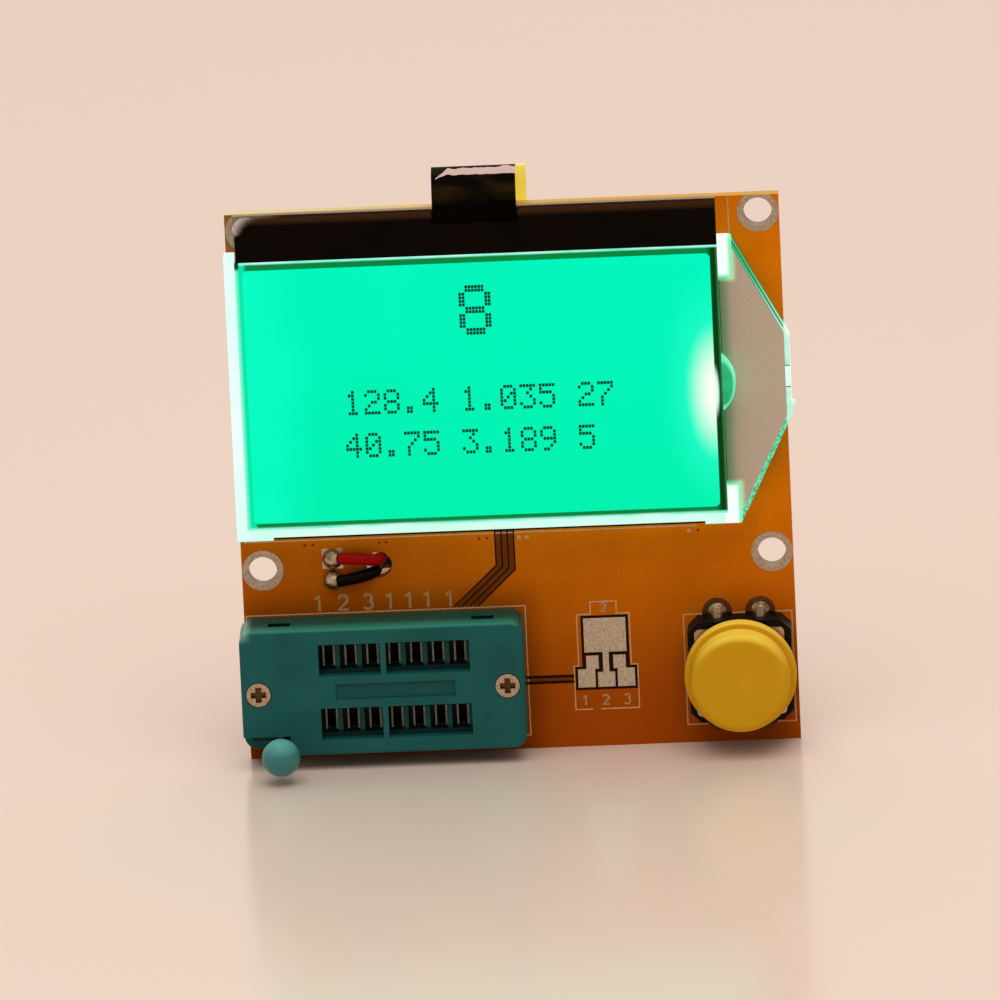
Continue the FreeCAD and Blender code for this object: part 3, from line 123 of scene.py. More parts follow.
class Finish:
    """A node material in the making, with short calls for the nodes that the finishes share."""

    def __init__(self, name, gloss=0.5, **settings):
        self.material = bpy.data.materials.new(name)
        self.material.use_nodes = True
        self.tree = self.material.node_tree
        self.shader = self.tree.nodes["Principled BSDF"]
        self.place = self.add("ShaderNodeTexCoord").outputs["Object"]
        self.set(Specular_IOR_Level=gloss, **settings)

    def set(self, **settings):
        """Feeds the shader; a socket's name is written with underscores."""
        for name, value in settings.items():
            self.feed(self.shader.inputs[name.replace("_", " ")], value)
        return self

    def feed(self, socket, value):
        if isinstance(value, bpy.types.NodeSocket):
            self.tree.links.new(value, socket)
        else:
            socket.default_value = value

    def add(self, kind, inputs=None, **settings):
        node = self.tree.nodes.new(kind)
        for name, value in settings.items():
            setattr(node, name, value)
        for key, value in (inputs or {}).items():
            self.feed(node.inputs[key], value)
        return node

    def math(self, operation, first, second=0.0):
        return self.add("ShaderNodeMath", {0: first, 1: second}, operation=operation).outputs[0]

    def chain(self, operation, values):
        return functools.reduce(lambda first, second: self.math(operation, first, second), values)

    def times(self, *values):
        """Product of values; of shares, 1 only where all of them are."""
        return self.chain("MULTIPLY", values)

    def most(self, *values):
        return self.chain("MAXIMUM", values)

    def least(self, *values):
        return self.chain("MINIMUM", values)

    def minus(self, first, second):
        return self.math("SUBTRACT", first, second)

    def size(self, value):
        return self.math("ABSOLUTE", value)

    def away(self, value, middle):
        """How far a value is from a middle, either way."""
        return self.size(self.minus(value, middle))

    def past(self, value, level):
        """How far a value is past a level, and 0 before it."""
        return self.most(self.minus(value, level), 0.0)

    def over(self, value, level):
        """1 where a value is over a level, and 0 elsewhere."""
        return self.math("GREATER_THAN", value, level)

    def under(self, value, level):
        """1 where a value is under a level, and 0 elsewhere."""
        return self.math("LESS_THAN", value, level)

    def within(self, value, low, high, margin):
        """1 between two limits, by a margin from each, and 0 elsewhere."""
        return self.under(self.away(value, (low + high) / 2), (high - low) / 2 - margin)

    def scaled(self, value, middle, span):
        """How far a value is from a middle, in spans."""
        return self.math("DIVIDE", self.minus(value, middle), span)

    def span(self, first, second):
        """Length of the slant of two legs."""
        legs = self.add("ShaderNodeCombineXYZ", {0: first, 1: second}).outputs[0]
        return self.add("ShaderNodeVectorMath", {0: legs}, operation="LENGTH").outputs["Value"]

    def oval(self, first, second, middle, reach):
        """How far a place is from a middle, in shares of an oval's reach."""
        return self.span(self.scaled(first, middle[0], reach[0]), self.scaled(second, middle[1], reach[1]))

    def axes(self, vector=None):
        """The X, Y and Z of a place or a normal."""
        return self.add("ShaderNodeSeparateXYZ", {0: vector or self.place}).outputs

    def facing(self):
        """The X, Y and Z of the surface's normal."""
        return self.axes(self.add("ShaderNodeTexCoord").outputs["Normal"])

    def noise(self, grain, detail=3.0, stretch=(1, 1, 1)):
        """Cloudy noise whose lumps are about as large as the grain, in metres."""
        scaled = self.add("ShaderNodeMapping", {"Vector": self.place, "Scale": stretch}).outputs[0]
        inputs = {"Vector": scaled, "Scale": 1 / grain, "Detail": detail, "Roughness": 0.55}
        return self.add("ShaderNodeTexNoise", inputs).outputs["Fac"]

    def remap(self, value, start, end, low=0.0, high=1.0, smooth=False):
        """A value's stretch from start to end as one from low to high, and held there past the ends."""
        kind = "SMOOTHSTEP" if smooth else "LINEAR"
        inputs = {"Value": value, "From Min": start, "From Max": end, "To Min": low, "To Max": high}
        return self.add("ShaderNodeMapRange", inputs, interpolation_type=kind).outputs[0]

    def uneven(self, noise, low, high):
        """A value that varies with noise."""
        return self.remap(noise, *CLOUD_SPAN, low, high)

    def mix(self, share, first, second):
        """Two colours, with a share of the second one; 6, 7 and 2 are the node's colour sockets."""
        return self.add("ShaderNodeMix", {0: share, 6: first, 7: second}, data_type="RGBA").outputs[2]

    def fade(self, value, start, end, first, second, share=1.0, smooth=False):
        """The first colour at a value's start, and a share of the second one at its end."""
        return self.mix(self.remap(value, start, end, 0.0, share, smooth), first, second)

    def mottled(self, noise, first, second):
        """Two colours shared out by noise."""
        return self.fade(noise, *CLOUD_SPAN, first, second)

    def cloudy(self, grain, first, second, detail=3.0, stretch=(1, 1, 1)):
        """Two colours in soft clouds."""
        return self.mottled(self.noise(grain, detail, stretch), first, second)

    def bump(self, height, depth, strength=1.0):
        inputs = {"Height": height, "Distance": depth, "Strength": strength}
        return self.add("ShaderNodeBump", inputs).outputs[0]

    def glow(self, colour, strength=1.0):
        return self.set(Emission_Color=colour, Emission_Strength=strength)


# Moulded plastic's texture and clouds, and how far up a face looks where its painted light on top starts
# and is full.
MOULD_GRAIN = 0.35 * MM
MOULD_DEPTH = 0.012 * MM
MOULD_CLOUDS = 6 * MM
UPWARD = (0.25, 0.9)


def moulded(name, colour, shade, roughness, depth=MOULD_DEPTH, gloss=0.2, top=None):
    """Moulded plastic: cloudy, finely textured and uneven in gloss, with a top paler by painted light where
    given.
    """
    paint = Finish(name, gloss=gloss)
    fine = paint.noise(MOULD_GRAIN, 4)
    body = paint.cloudy(MOULD_CLOUDS, colour, shade, 4)
    # A given top colour is painted light, on the faces that look up.
    if top:
        body = paint.fade(paint.facing()[2], *UPWARD, body, top)
    paint.set(Base_Color=body, Roughness=paint.uneven(fine, roughness - 0.06, roughness + 0.08),
              Normal=paint.bump(fine, depth))
    return paint.material


def plated(paint, colour, shade, smooth, dull, grain=0.3 * MM, depth=0.01 * MM, stretch=(1, 1, 1)):
    """Makes a finish metal, with an uneven face and gloss, and gives back its cloudy colour."""
    clouds = paint.noise(grain, 5, stretch)
    paint.set(Metallic=1.0, Roughness=paint.remap(clouds, *METAL_SPAN, smooth, dull),
              Normal=paint.bump(clouds, depth))
    return paint.mottled(clouds, colour, shade)


def metal(name, colour, shade, roughness, **grain):
    """Plated or tinned metal all over."""
    paint = Finish(name)
    paint.set(Base_Color=plated(paint, colour, shade, roughness - 0.08, roughness + 0.1, **grain))
    return paint.material


# Solder mask: painted light makes it paler up the board and towards the right.
MASK_LIGHT_RISE = (2 * MM, 32 * MM)
MASK_LIGHT_ACROSS = (-20 * MM, 8 * MM)
MASK_CLOUDS = 9 * MM
MASK_GRAIN = 0.28 * MM
WEAVE_GRAIN = 0.4 * MM
WEAVE_DEPTH = 0.02 * MM
# Painted shade above the socket, and an olive-grey tint round the ring that the rear pane covers.
SHADE_Z = ends(SOCKET_HIGH.z, 3.5, 0.4)
SHADE_X = ends(SOCKET_HIGH.x, 3, 0)
RING_TINT = (3.6 * MM, 2.6 * MM)
# Bare edge: its grain, its layers from the middle outwards, and the pale part of its upper side.
EDGE_GRAIN = 0.5 * MM
EDGE_LAYERS = (0.4 * MM, 0.7 * MM)
BRIM_X = (BOARD_LOW.x, 8 * MM)


def mask_colour(paint, x, z, grain):
    """Orange solder mask, paler upwards by painted light, with painted shade above the socket and
    olive-grey round the covered ring.
    """
    upper = paint.fade(x, *MASK_LIGHT_ACROSS, srgb(208, 108, 0), srgb(238, 128, 0), smooth=True)
    mask = paint.fade(z, *MASK_LIGHT_RISE, srgb(170, 75, 0), upper, smooth=True)
    mask = paint.fade(paint.noise(MASK_CLOUDS, 4), 0.35, 0.7, mask, srgb(158, 66, 0), 0.3)
    shaded = paint.times(paint.remap(z, *SHADE_Z, 0.0, 0.4), paint.remap(x, *SHADE_X))
    mask = paint.mix(shaded, mask, srgb(92, 32, 0))
    mask = paint.fade(grain, 0.35, 0.75, mask, srgb(126, 52, 2), 0.2)
    from_ring = paint.span(paint.math("ADD", x, HOLE_X), paint.minus(z, HOLE_Z[1]))
    return paint.fade(from_ring, *RING_TINT, mask, srgb(118, 98, 64), 0.8)


def edge_colour(paint, x, y, z):
    """The board's bare golden edge, pale along its upper side, and the plated walls of its holes."""
    edge = paint.cloudy(EDGE_GRAIN, srgb(206, 140, 34), srgb(146, 84, 10), stretch=(0.12, 3, 3))
    edge = paint.fade(paint.size(y), *EDGE_LAYERS, edge, srgb(92, 54, 16))
    brim = paint.fade(x, *BRIM_X, srgb(222, 212, 158), srgb(212, 160, 62))
    edge = paint.mix(paint.over(z, BOARD_HIGH.z - SLACK), edge, brim)
    aside = paint.minus(paint.size(x), HOLE_X)
    rise = paint.least(*(paint.away(z, middle) for middle in HOLE_Z))
    in_hole = paint.under(paint.span(aside, rise), HOLE_REACH)
    return paint.mix(in_hole, edge, srgb(164, 148, 128))


def board_finish():
    """Solder mask with a faint weave on the board's two faces, and bare edges."""
    paint = Finish("board_mask", gloss=0.04)
    x, y, z = paint.axes()
    grain = paint.noise(MASK_GRAIN, 3)
    on_face = paint.over(paint.size(paint.facing()[1]), FACING)
    weave = paint.times(*(paint.noise(WEAVE_GRAIN, 2, stretch) for stretch in ((0.3, 1, 1), (1, 1, 0.3))))
    paint.set(Base_Color=paint.mix(on_face, edge_colour(paint, x, y, z), mask_colour(paint, x, z, grain)),
              Roughness=paint.uneven(grain, 0.36, 0.5), Normal=paint.bump(weave, WEAVE_DEPTH, 0.6))
    return paint.material


# Glare beside the lamp: its middle, and how far it reaches on the film and on the pane's border.
GLARE_Z = LAMP_Z - 0.8 * MM
FILM_GLARE = (2.5 * MM, 5.8 * MM)
BORDER_GLARE = (0.6 * MM, 3.6 * MM)
# Paler left end of the display, and its clouds.
PALE_LEFT = ends(FILTER_LOW.x, 9, 2)
DISPLAY_CLOUDS = 11 * MM


def display_finish():
    """Lit display film: mint light, with a white glare beside the lamp."""
    paint = Finish("polarizer_lit", Base_Color=srgb(0, 16, 11), Roughness=0.3, gloss=0.02)
    x, _, z = paint.axes()
    light = paint.fade(z, FILTER_LOW.z, FILTER_HIGH.z, srgb(0, 242, 174), srgb(0, 248, 194))
    light = paint.fade(x, *PALE_LEFT, light, srgb(6, 253, 195), smooth=True)
    light = paint.fade(paint.noise(DISPLAY_CLOUDS, 2), 0.35, 0.65, light, srgb(0, 240, 176), 0.4)
    reach = paint.oval(x, z, (FILTER_HIGH.x + SLACK, GLARE_Z), FILM_GLARE)
    light = paint.fade(reach, 2.7, 0.9, light, srgb(36, 255, 205), 0.7, smooth=True)
    light = paint.fade(reach, 1.5, 0.15, light, srgb(255, 255, 244), smooth=True)
    paint.glow(light)
    return paint.material


# Changes of colour across the front pane's border: where each starts and ends, and what it goes to.
BORDER_LEFT = srgb(150, 255, 225)
BORDER_STEPS = [
    (*ends(GLASS_LOW.x, 0, 0.5), srgb(0, 228, 168)),
    (*ends(FILTER_LOW.x, 0.1, 0.5), srgb(0, 130, 60)),
    (*ends(FILTER_HIGH.x, -0.4, 0.2), srgb(0, 54, 6)),
    (*ends(GLASS_HIGH.x, -0.3, 0), srgb(52, 124, 64)),
]
# Bright rims of the front pane, and the left end of the upper one, which the coat covers.
UPPER_RIM = ends(GLASS_HIGH.z, -0.22, -0.05)
LOWER_RIM = ends(GLASS_LOW.z, 0.4, 0.15)
RIM_CLOUDS = 5 * MM
COVERED_X = ends(GLASS_LOW.x, 0.6, 0.4)
COVERED_Z = ends(GLASS_HIGH.z, -0.9, -0.5)


def front_glass_finish():
    """Front pane: green where the film ends, darkest at the right, and bright along two edges."""
    paint = Finish("front_pane", Base_Color=srgb(0, 20, 10), Roughness=0.1, gloss=0.06)
    x, _, z = paint.axes()
    border = BORDER_LEFT
    for start, end, colour in BORDER_STEPS:
        border = paint.fade(x, start, end, border, colour)
    reach = paint.oval(x, z, (FILTER_HIGH.x, GLARE_Z), BORDER_GLARE)
    border = paint.fade(reach, 1.0, 0.4, border, srgb(214, 255, 236), smooth=True)
    rim = paint.cloudy(RIM_CLOUDS, srgb(110, 246, 206), srgb(196, 255, 244), stretch=(1, 0.1, 0.1))
    on_rim = paint.most(paint.remap(z, *UPPER_RIM), paint.remap(z, *LOWER_RIM))
    border = paint.mix(on_rim, border, rim)
    covered = paint.times(paint.remap(x, *COVERED_X), paint.remap(z, *COVERED_Z))
    paint.glow(paint.mix(covered, border, srgb(0, 62, 36)))
    return paint.material


# The rear pane's ledge goes from paler and clearer to dark brown and more opaque along its left end.
LEDGE_DARK_X = ends(PANE_LOW.x, 2.5, 6)
PANE_CLOUDS = 1.5 * MM


def rear_glass_finish():
    """Clear pane that shows along its rim, and is dark brown and part opaque on its ledge, less so at the
    left end.
    """
    paint = Finish("rear_pane", gloss=0.2)
    x, _, z = paint.axes()
    on_face = paint.remap(paint.size(paint.facing()[1]), 0.4, 0.6)
    along = paint.remap(x, *LEDGE_DARK_X, smooth=True)
    ledge_dark = paint.times(paint.over(z, GLASS_HIGH.z), paint.remap(along, 0.0, 1.0, 0.4, 0.8))
    tint = paint.mix(along, srgb(140, 122, 96), srgb(50, 32, 16))
    paint.set(Base_Color=paint.mix(on_face, srgb(184, 160, 128), tint),
              Roughness=paint.uneven(paint.noise(PANE_CLOUDS, 3), 0.03, 0.12),
              Alpha=paint.remap(on_face, 0.0, 1.0, 0.6, paint.most(ledge_dark, 0.05)))
    return paint.material


# The guide's plate: its white left side, its clouds, where its right side starts, and the notches' halo.
PLATE_LEFT = ends(GLASS_LOW.x, 0, 1.5)
PLATE_CLOUDS = 7 * MM
PLATE_RIGHT = GLASS_HIGH.x - 0.3 * MM
HALO_REACH = 0.5 * MM
# The wedge: its lower rim's saw teeth, its upper rim's outer and inner lines, its tip and the lamp's seams.
TEETH_GRAIN = 0.26 * MM
RIM_LIGHT_X = (NOTCH_X + 2 * MM, FILM_HIGH.x)
RIM_OUTER = (0.22 * MM, 0.08 * MM)
RIM_INNER = (0.46 * MM, 0.64 * MM)
RIM_SLOPE = (GUIDE_TOP - LAMP_Z - TIP_HALF) / (FILM_HIGH.x + TIP_RIM - NOTCH_X)
TIP_X = ends(FILM_HIGH.x, -0.15, 0.1)
TIP_CLOUDS = 1.1 * MM
LAMP_SEAM = 0.12 * MM


def plate_light(paint, x, z):
    """Light of the guide's plate: near white, whitest in the mask film's notches and dark between them."""
    light = paint.fade(x, *PLATE_LEFT, srgb(234, 255, 252), srgb(214, 255, 240))
    light = paint.fade(paint.noise(PLATE_CLOUDS, 2), 0.4, 0.7, light, srgb(190, 253, 230), 0.5)
    at_right = paint.over(x, PLATE_RIGHT)
    between = paint.times(at_right, paint.over(z, NOTCH_LOW_Z), paint.under(z, NOTCH_HIGH_Z))
    light = paint.mix(between, light, srgb(20, 70, 36))
    in_notch = paint.times(at_right, paint.minus(1.0, between))
    light = paint.mix(in_notch, light, srgb(246, 255, 251))
    nearest = paint.least(paint.away(x, NOTCH_X), paint.away(z, NOTCH_LOW_Z), paint.away(z, NOTCH_HIGH_Z))
    halo = paint.times(paint.remap(nearest, HALO_REACH, 0.0, smooth=True), at_right)
    return paint.mix(halo, light, srgb(112, 242, 186))


def wedge_light(paint, x, z, at_tip):
    """Light of the wedge's sawn lower rim, its clear upper rim, and its tip beside the lamp."""
    lower = paint.cloudy(TEETH_GRAIN, srgb(30, 150, 90), srgb(124, 246, 196), 1.0)
    fall = paint.times(paint.minus(x, NOTCH_X), RIM_SLOPE)
    across = paint.minus(paint.minus(GUIDE_TOP, z), fall)
    upper = paint.fade(x, *RIM_LIGHT_X, srgb(58, 196, 134), srgb(190, 252, 228))
    upper = paint.fade(across, *RIM_OUTER, upper, srgb(40, 104, 48))
    upper = paint.fade(across, *RIM_INNER, upper, srgb(28, 128, 76))
    rims = paint.mix(paint.over(z, LAMP_Z), lower, upper)
    tip = paint.cloudy(TIP_CLOUDS, srgb(214, 248, 232), srgb(168, 236, 206))
    to_lamp = paint.least(paint.away(z, LAMP_LOW.z), paint.away(z, LAMP_HIGH.z))
    tip = paint.mix(paint.under(to_lamp, LAMP_SEAM), tip, srgb(30, 104, 70))
    return paint.mix(at_tip, rims, tip)


def guide_finish():
    """Acrylic light guide: lit on its plate and its wedge's rims, and clear on the wedge's sides."""
    paint = Finish("acrylic_lit", Base_Color=srgb(8, 34, 24), Roughness=0.15, gloss=0.08)
    x, _, z = paint.axes()
    on_wedge = paint.over(x, WEDGE_X)
    at_tip = paint.remap(x, *TIP_X)
    paint.glow(paint.mix(on_wedge, plate_light(paint, x, z), wedge_light(paint, x, z, at_tip)))
    on_side = paint.under(paint.size(paint.facing()[1]), FACING)
    clear = paint.times(on_wedge, on_side, paint.minus(1.0, at_tip))
    paint.set(Alpha=paint.remap(clear, 0.0, 1.0, 1.0, 0.1))
    return paint.material


LAMP_CLOUDS = 0.8 * MM


def lamp_finish():
    """Clear resin of the lit lamp."""
    paint = Finish("lamp_lit", Base_Color=srgb(40, 80, 64), Roughness=0.2, gloss=0.2)
    paint.glow(paint.cloudy(LAMP_CLOUDS, srgb(205, 255, 236), srgb(240, 255, 250), 2.0))
    return paint.material


# The mask tape: its grain, its painted shadow and painted glow beside the display, and the painted glow
# round its notches.
TAPE_GRAIN = 0.2 * MM
TAPE_DEPTH = 0.02 * MM
TAPE_SHADOW = ends(FILM_LOW.x, 1.5, 0)
TAPE_GLOW = ends(FILM_LOW.x, 1.6, 0.2)
NOTCH_LIGHT = 0.75 * MM


def film_finish():
    """Beige mask tape with a fine grain, a painted shadow beside the display and a painted green glow there
    and round its two notches.
    """
    paint = Finish("mask_tape", gloss=0.15)
    x, _, z = paint.axes()
    grain = paint.noise(TAPE_GRAIN, 4)
    tape = paint.mottled(grain, srgb(206, 188, 170), srgb(188, 170, 152))
    tape = paint.fade(x, *TAPE_SHADOW, tape, srgb(106, 134, 92), 0.85, smooth=True)
    aside = paint.past(x, NOTCH_X)
    from_upper = paint.span(aside, paint.past(NOTCH_HIGH_Z, z))
    from_lower = paint.span(aside, paint.past(z, NOTCH_LOW_Z))
    round_notch = paint.remap(paint.least(from_upper, from_lower), NOTCH_LIGHT, 0.0, 0.0, 0.6, smooth=True)
    beside = paint.remap(x, *TAPE_GLOW, 0.0, 0.07, smooth=True)
    paint.glow(srgb(96, 226, 164), paint.most(beside, round_notch))
    paint.set(Base_Color=tape, Roughness=paint.uneven(grain, 0.45, 0.6),
              Normal=paint.bump(grain, TAPE_DEPTH))
    return paint.material


SEAL_RIPPLE = 1.4 * MM
RIPPLE_DEPTH = 0.05 * MM


def seal_finish():
    """Drop of clear resin, lit from the display's edge and brightest along its rim."""
    paint = Finish("seal_drop", Base_Color=srgb(16, 84, 56), Roughness=0.15, gloss=0.2)
    x, _, z = paint.axes()
    middle = (GLASS_HIGH.x, (SEAL_LOW.z + SEAL_HIGH.z) / 2)
    reach = paint.oval(x, z, middle, (SEAL_HIGH.x - GLASS_HIGH.x, (SEAL_HIGH.z - SEAL_LOW.z) / 2))
    ripple = paint.noise(SEAL_RIPPLE, 2)
    body = paint.mottled(ripple, srgb(6, 140, 84), srgb(34, 178, 116))
    paint.glow(paint.fade(reach, 0.72, 0.9, body, srgb(104, 230, 178), smooth=True))
    paint.set(Normal=paint.bump(ripple, RIPPLE_DEPTH))
    return paint.material


# Where the coat thins out: in from its left end and down from its upper edge, and how high this starts.
COAT_FADE_X = 2.8 * MM
COAT_FADE_Z = 2.9 * MM
COAT_FADE_START = COAT_HIGH.z - 2.4 * MM
COAT_CORNER_Z = ends(COAT_HIGH.z, -3.4, -1.8)
COAT_BROWN_Z = ends(COAT_HIGH.z, -0.9, 0)
COAT_CLOUDS = 5 * MM


def coat_finish():
    """Black coat on the ledge: brown along its upper edge, and thin to clear in its upper left corner."""
    paint = Finish("ledge_coat", Roughness=0.25, gloss=0.04)
    x, _, z = paint.axes()
    inset_x = paint.most(paint.scaled(x, COAT_LOW.x + COAT_FADE_X, -COAT_FADE_X), 0.0)
    inset_z = paint.most(paint.scaled(z, COAT_FADE_START, COAT_FADE_Z), 0.0)
    corner = paint.span(paint.times(inset_x, paint.remap(z, *COAT_CORNER_Z)), inset_z)
    black = paint.cloudy(COAT_CLOUDS, srgb(12, 5, 2), srgb(5, 2, 1))
    paint.set(Base_Color=paint.fade(z, *COAT_BROWN_Z, black, srgb(72, 44, 22), smooth=True),
              Alpha=paint.remap(corner, 1.12, 0.6, smooth=True))
    return paint.material


# The flat cable's painted highlight along its fold: it rises and widens along its left end, and wanders a
# little.
FLEX_SKIN = 0.05 * MM
AMBER_CLOUDS = 2.5 * MM
SHEEN_STREAK_GRAIN = 2.2 * MM
HIGHLIGHT_RISE_X = ends(FLEX_LOW.x, 0.5, 1.9)
HIGHLIGHT_RISE = (-0.8 * MM, -0.28 * MM)
HIGHLIGHT_WIDEN_X = ends(FLEX_LOW.x, 0.7, 2.1)
HIGHLIGHT_HALF = (0.06 * MM, 0.24 * MM)
HIGHLIGHT_GRAIN = 1.6 * MM
HIGHLIGHT_WANDER = 0.06 * MM


def flex_finish():
    """Flat cable: black outside, with painted sheen and a painted highlight along its fold, and amber
    inside.
    """
    paint = Finish("flex_film", Roughness=0.45, gloss=0.01)
    middle_y = (FLEX_LOW.y + FLEX_HIGH.y) / 2
    bend_z = FLEX_HIGH.z - (FLEX_HIGH.y - FLEX_LOW.y) / 2
    x, y, z = paint.axes()
    _, normal_y, normal_z = paint.facing()
    outward = paint.math("ADD", paint.times(normal_y, paint.minus(y, middle_y)),
                         paint.times(normal_z, paint.minus(z, bend_z)))
    inside = paint.under(outward, -FLEX_SKIN)
    bare = paint.most(inside, paint.over(x, FLEX_HIGH.x - FLEX_EAR))
    amber = paint.cloudy(AMBER_CLOUDS, srgb(255, 232, 130), srgb(250, 214, 96))
    # Painted sheen: faint brown streaks on the black.
    sheen_streaks = paint.noise(SHEEN_STREAK_GRAIN, 2, (0.3, 1, 1))
    black = paint.fade(sheen_streaks, 0.48, 0.72, srgb(6, 4, 2), srgb(40, 29, 12))
    wander = paint.uneven(paint.noise(HIGHLIGHT_GRAIN, 2, (1, 0.2, 0.2)), -HIGHLIGHT_WANDER, HIGHLIGHT_WANDER)
    line = paint.math("ADD", paint.remap(x, *HIGHLIGHT_RISE_X, *HIGHLIGHT_RISE), wander)
    half = paint.remap(x, *HIGHLIGHT_WIDEN_X, *HIGHLIGHT_HALF)
    on_line = paint.under(paint.away(paint.minus(z, FLEX_HIGH.z), line), half)
    fold_highlight = paint.times(on_line, paint.under(y, middle_y), paint.over(x, HIGHLIGHT_RISE_X[0]))
    outside = paint.mix(fold_highlight, black, srgb(206, 178, 168))
    # Painted glow on the amber, standing in for light shining through the thin film.
    paint.glow(amber, paint.times(bare, 0.22))
    paint.set(Base_Color=paint.mix(bare, outside, amber), Subsurface_Weight=paint.times(bare, 0.8),
              Subsurface_Radius=(1.0, 0.7, 0.3), Subsurface_Scale=FLEX_EAR)
    return paint.material


RECESS_SHADE_Y = ends(SCREW_FRONT, 0.03, 0.2)


def screw_finish():
    """Plated screw head, with painted shade in its cross recess."""
    paint = Finish("screw_head")
    plate = plated(paint, srgb(198, 178, 156), srgb(154, 128, 104), 0.24, 0.4, depth=0.012 * MM)
    paint.set(Base_Color=paint.fade(paint.axes()[1], *RECESS_SHADE_Y, plate, srgb(84, 58, 40)))
    return paint.material


CONTACT_SHADE_Y = ends(CONTACT_LOW.y, 0.1, 0.6)


def contact_finish():
    """Plated springs, bright on their front edges and darkened by painted shade in the depth of the socket.
    """
    paint = Finish("spring_bronze")
    plate = plated(paint, srgb(112, 122, 112), srgb(80, 82, 68), 0.26, 0.42)
    y = paint.axes()[1]
    deep = paint.times(paint.remap(y, *CONTACT_SHADE_Y), paint.under(y, BOARD_LOW.y))
    paint.set(Base_Color=paint.mix(deep, plate, srgb(30, 20, 12)))
    return paint.material


# Depths where painted shade darkens the socket's groove, the ledges of its windows and the slots behind
# them.
GROOVE_Y = ends(SOCKET_LOW.y, 0.15, 0.3)
LEDGE_Y = ends(SOCKET_LOW.y, 0.9, 1.9)
SLOT_Y = ends(SOCKET_LOW.y, 2.0, 2.8)
# The slots' middle height, and half their height in each row.
SLOT_MIDDLE_Z = (CONTACT_LOW.z + CONTACT_HIGH.z) / 2
SLOT_HALF = (CONTACT_HIGH.z - CONTACT_LOW.z) / 2 - CONTACT_ROW + 0.05 * MM
# The socket's painted highlight on its upper left corner, and the front of its clip notches, which get
# painted shade.
CORNER_HIGHLIGHT_X = ends(SOCKET_LOW.x, 1.6, 0)
CORNER_HIGHLIGHT_Z = ends(SOCKET_HIGH.z, -1.6, -0.2)
CLIP_FRONT_Y = SOCKET_LOW.y + 0.5 * MM


def socket_depth_shade(paint, x, y, z):
    """How much painted shade darkens the socket in its depth: in its groove, on its windows' ledges and in
    their slots.
    """
    off_row = paint.away(paint.away(z, SLOT_MIDDLE_Z), CONTACT_ROW)
    ledge = paint.times(paint.over(off_row, SLOT_HALF), paint.remap(y, *LEDGE_Y, 0.0, 0.75))
    deep = paint.most(paint.remap(y, *GROOVE_Y, 0.0, 0.15), paint.remap(y, *SLOT_Y, 0.0, 0.85), ledge)
    return paint.times(deep, paint.within(x, SOCKET_LOW.x, SOCKET_HIGH.x, SOCKET_WALL),
                       paint.within(z, SOCKET_LOW.z, SOCKET_HIGH.z, SOCKET_WALL))


def socket_finish():
    """Teal plastic, with painted light along the socket's upper side, a painted highlight in its upper
    left corner, and painted shade in the depth of its windows and inside its clip notches."""
    paint = Finish("socket_teal", gloss=0.15)
    x, y, z = paint.axes()
    _, front, up = paint.facing()
    fine = paint.noise(MOULD_GRAIN, 4)
    body = paint.cloudy(MOULD_CLOUDS, srgb(23, 94, 92), srgb(19, 82, 80), 4)
    body = paint.mix(socket_depth_shade(paint, x, y, z), body, srgb(4, 18, 16))
    # Painted light on the upper side: paler at the front, darker by the board where the display shades it.
    at_top = paint.over(z, CLIP_FLOOR_Z - SLACK)
    upper = paint.times(paint.remap(up, 0.3, 0.9), at_top)
    painted_top_light = paint.fade(y, SOCKET_LOW.y, SOCKET_HIGH.y, srgb(38, 124, 106), srgb(10, 70, 58), smooth=True)
    body = paint.mix(upper, body, painted_top_light)
    # Painted highlight on the upper left corner.
    corner = paint.times(paint.remap(x, *CORNER_HIGHLIGHT_X, smooth=True), paint.remap(z, *CORNER_HIGHLIGHT_Z, smooth=True))
    body = paint.mix(corner, body, srgb(128, 186, 172))
    # Painted shade inside the clip notches.
    clip_back_shade = paint.times(at_top, paint.over(y, CLIP_FRONT_Y), paint.under(front, -FACING))
    clip_floor_shade = paint.times(paint.under(z, CLIP_FLOOR_Z + SLACK), upper)
    paint.set(Base_Color=paint.mix(paint.most(clip_floor_shade, clip_back_shade), body, srgb(5, 24, 22)),
              Roughness=paint.uneven(fine, 0.36, 0.5), Normal=paint.bump(fine, MOULD_DEPTH))
    return paint.material


CHIP_GRAIN = 0.3 * MM
CHIP_CLOUDS = 1.5 * MM
CHIP_DEPTH = 0.01 * MM


def capped_finish(name, colour, shade, node, axis):
    """Bodies of a row of small chip parts, with tinned caps on their two ends along an axis."""
    paint = Finish(name, gloss=0.3)
    place = paint.axes()[axis]
    low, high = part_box(node)
    caps = paint.most(paint.under(place, low[axis] + CHIP_CAP), paint.over(place, high[axis] - CHIP_CAP))
    fine = paint.noise(CHIP_GRAIN, 4)
    tin = paint.mottled(fine, srgb(206, 196, 180), srgb(174, 162, 144))
    body = paint.cloudy(CHIP_CLOUDS, colour, shade)
    paint.set(Base_Color=paint.mix(caps, body, tin), Metallic=caps,
              Roughness=paint.uneven(fine, 0.34, 0.48), Normal=paint.bump(fine, CHIP_DEPTH))
    return paint.material


SCUFF_GRAIN = 1.2 * MM
BATTERY_BAND = 11 * MM
FLAT_END = 0.9


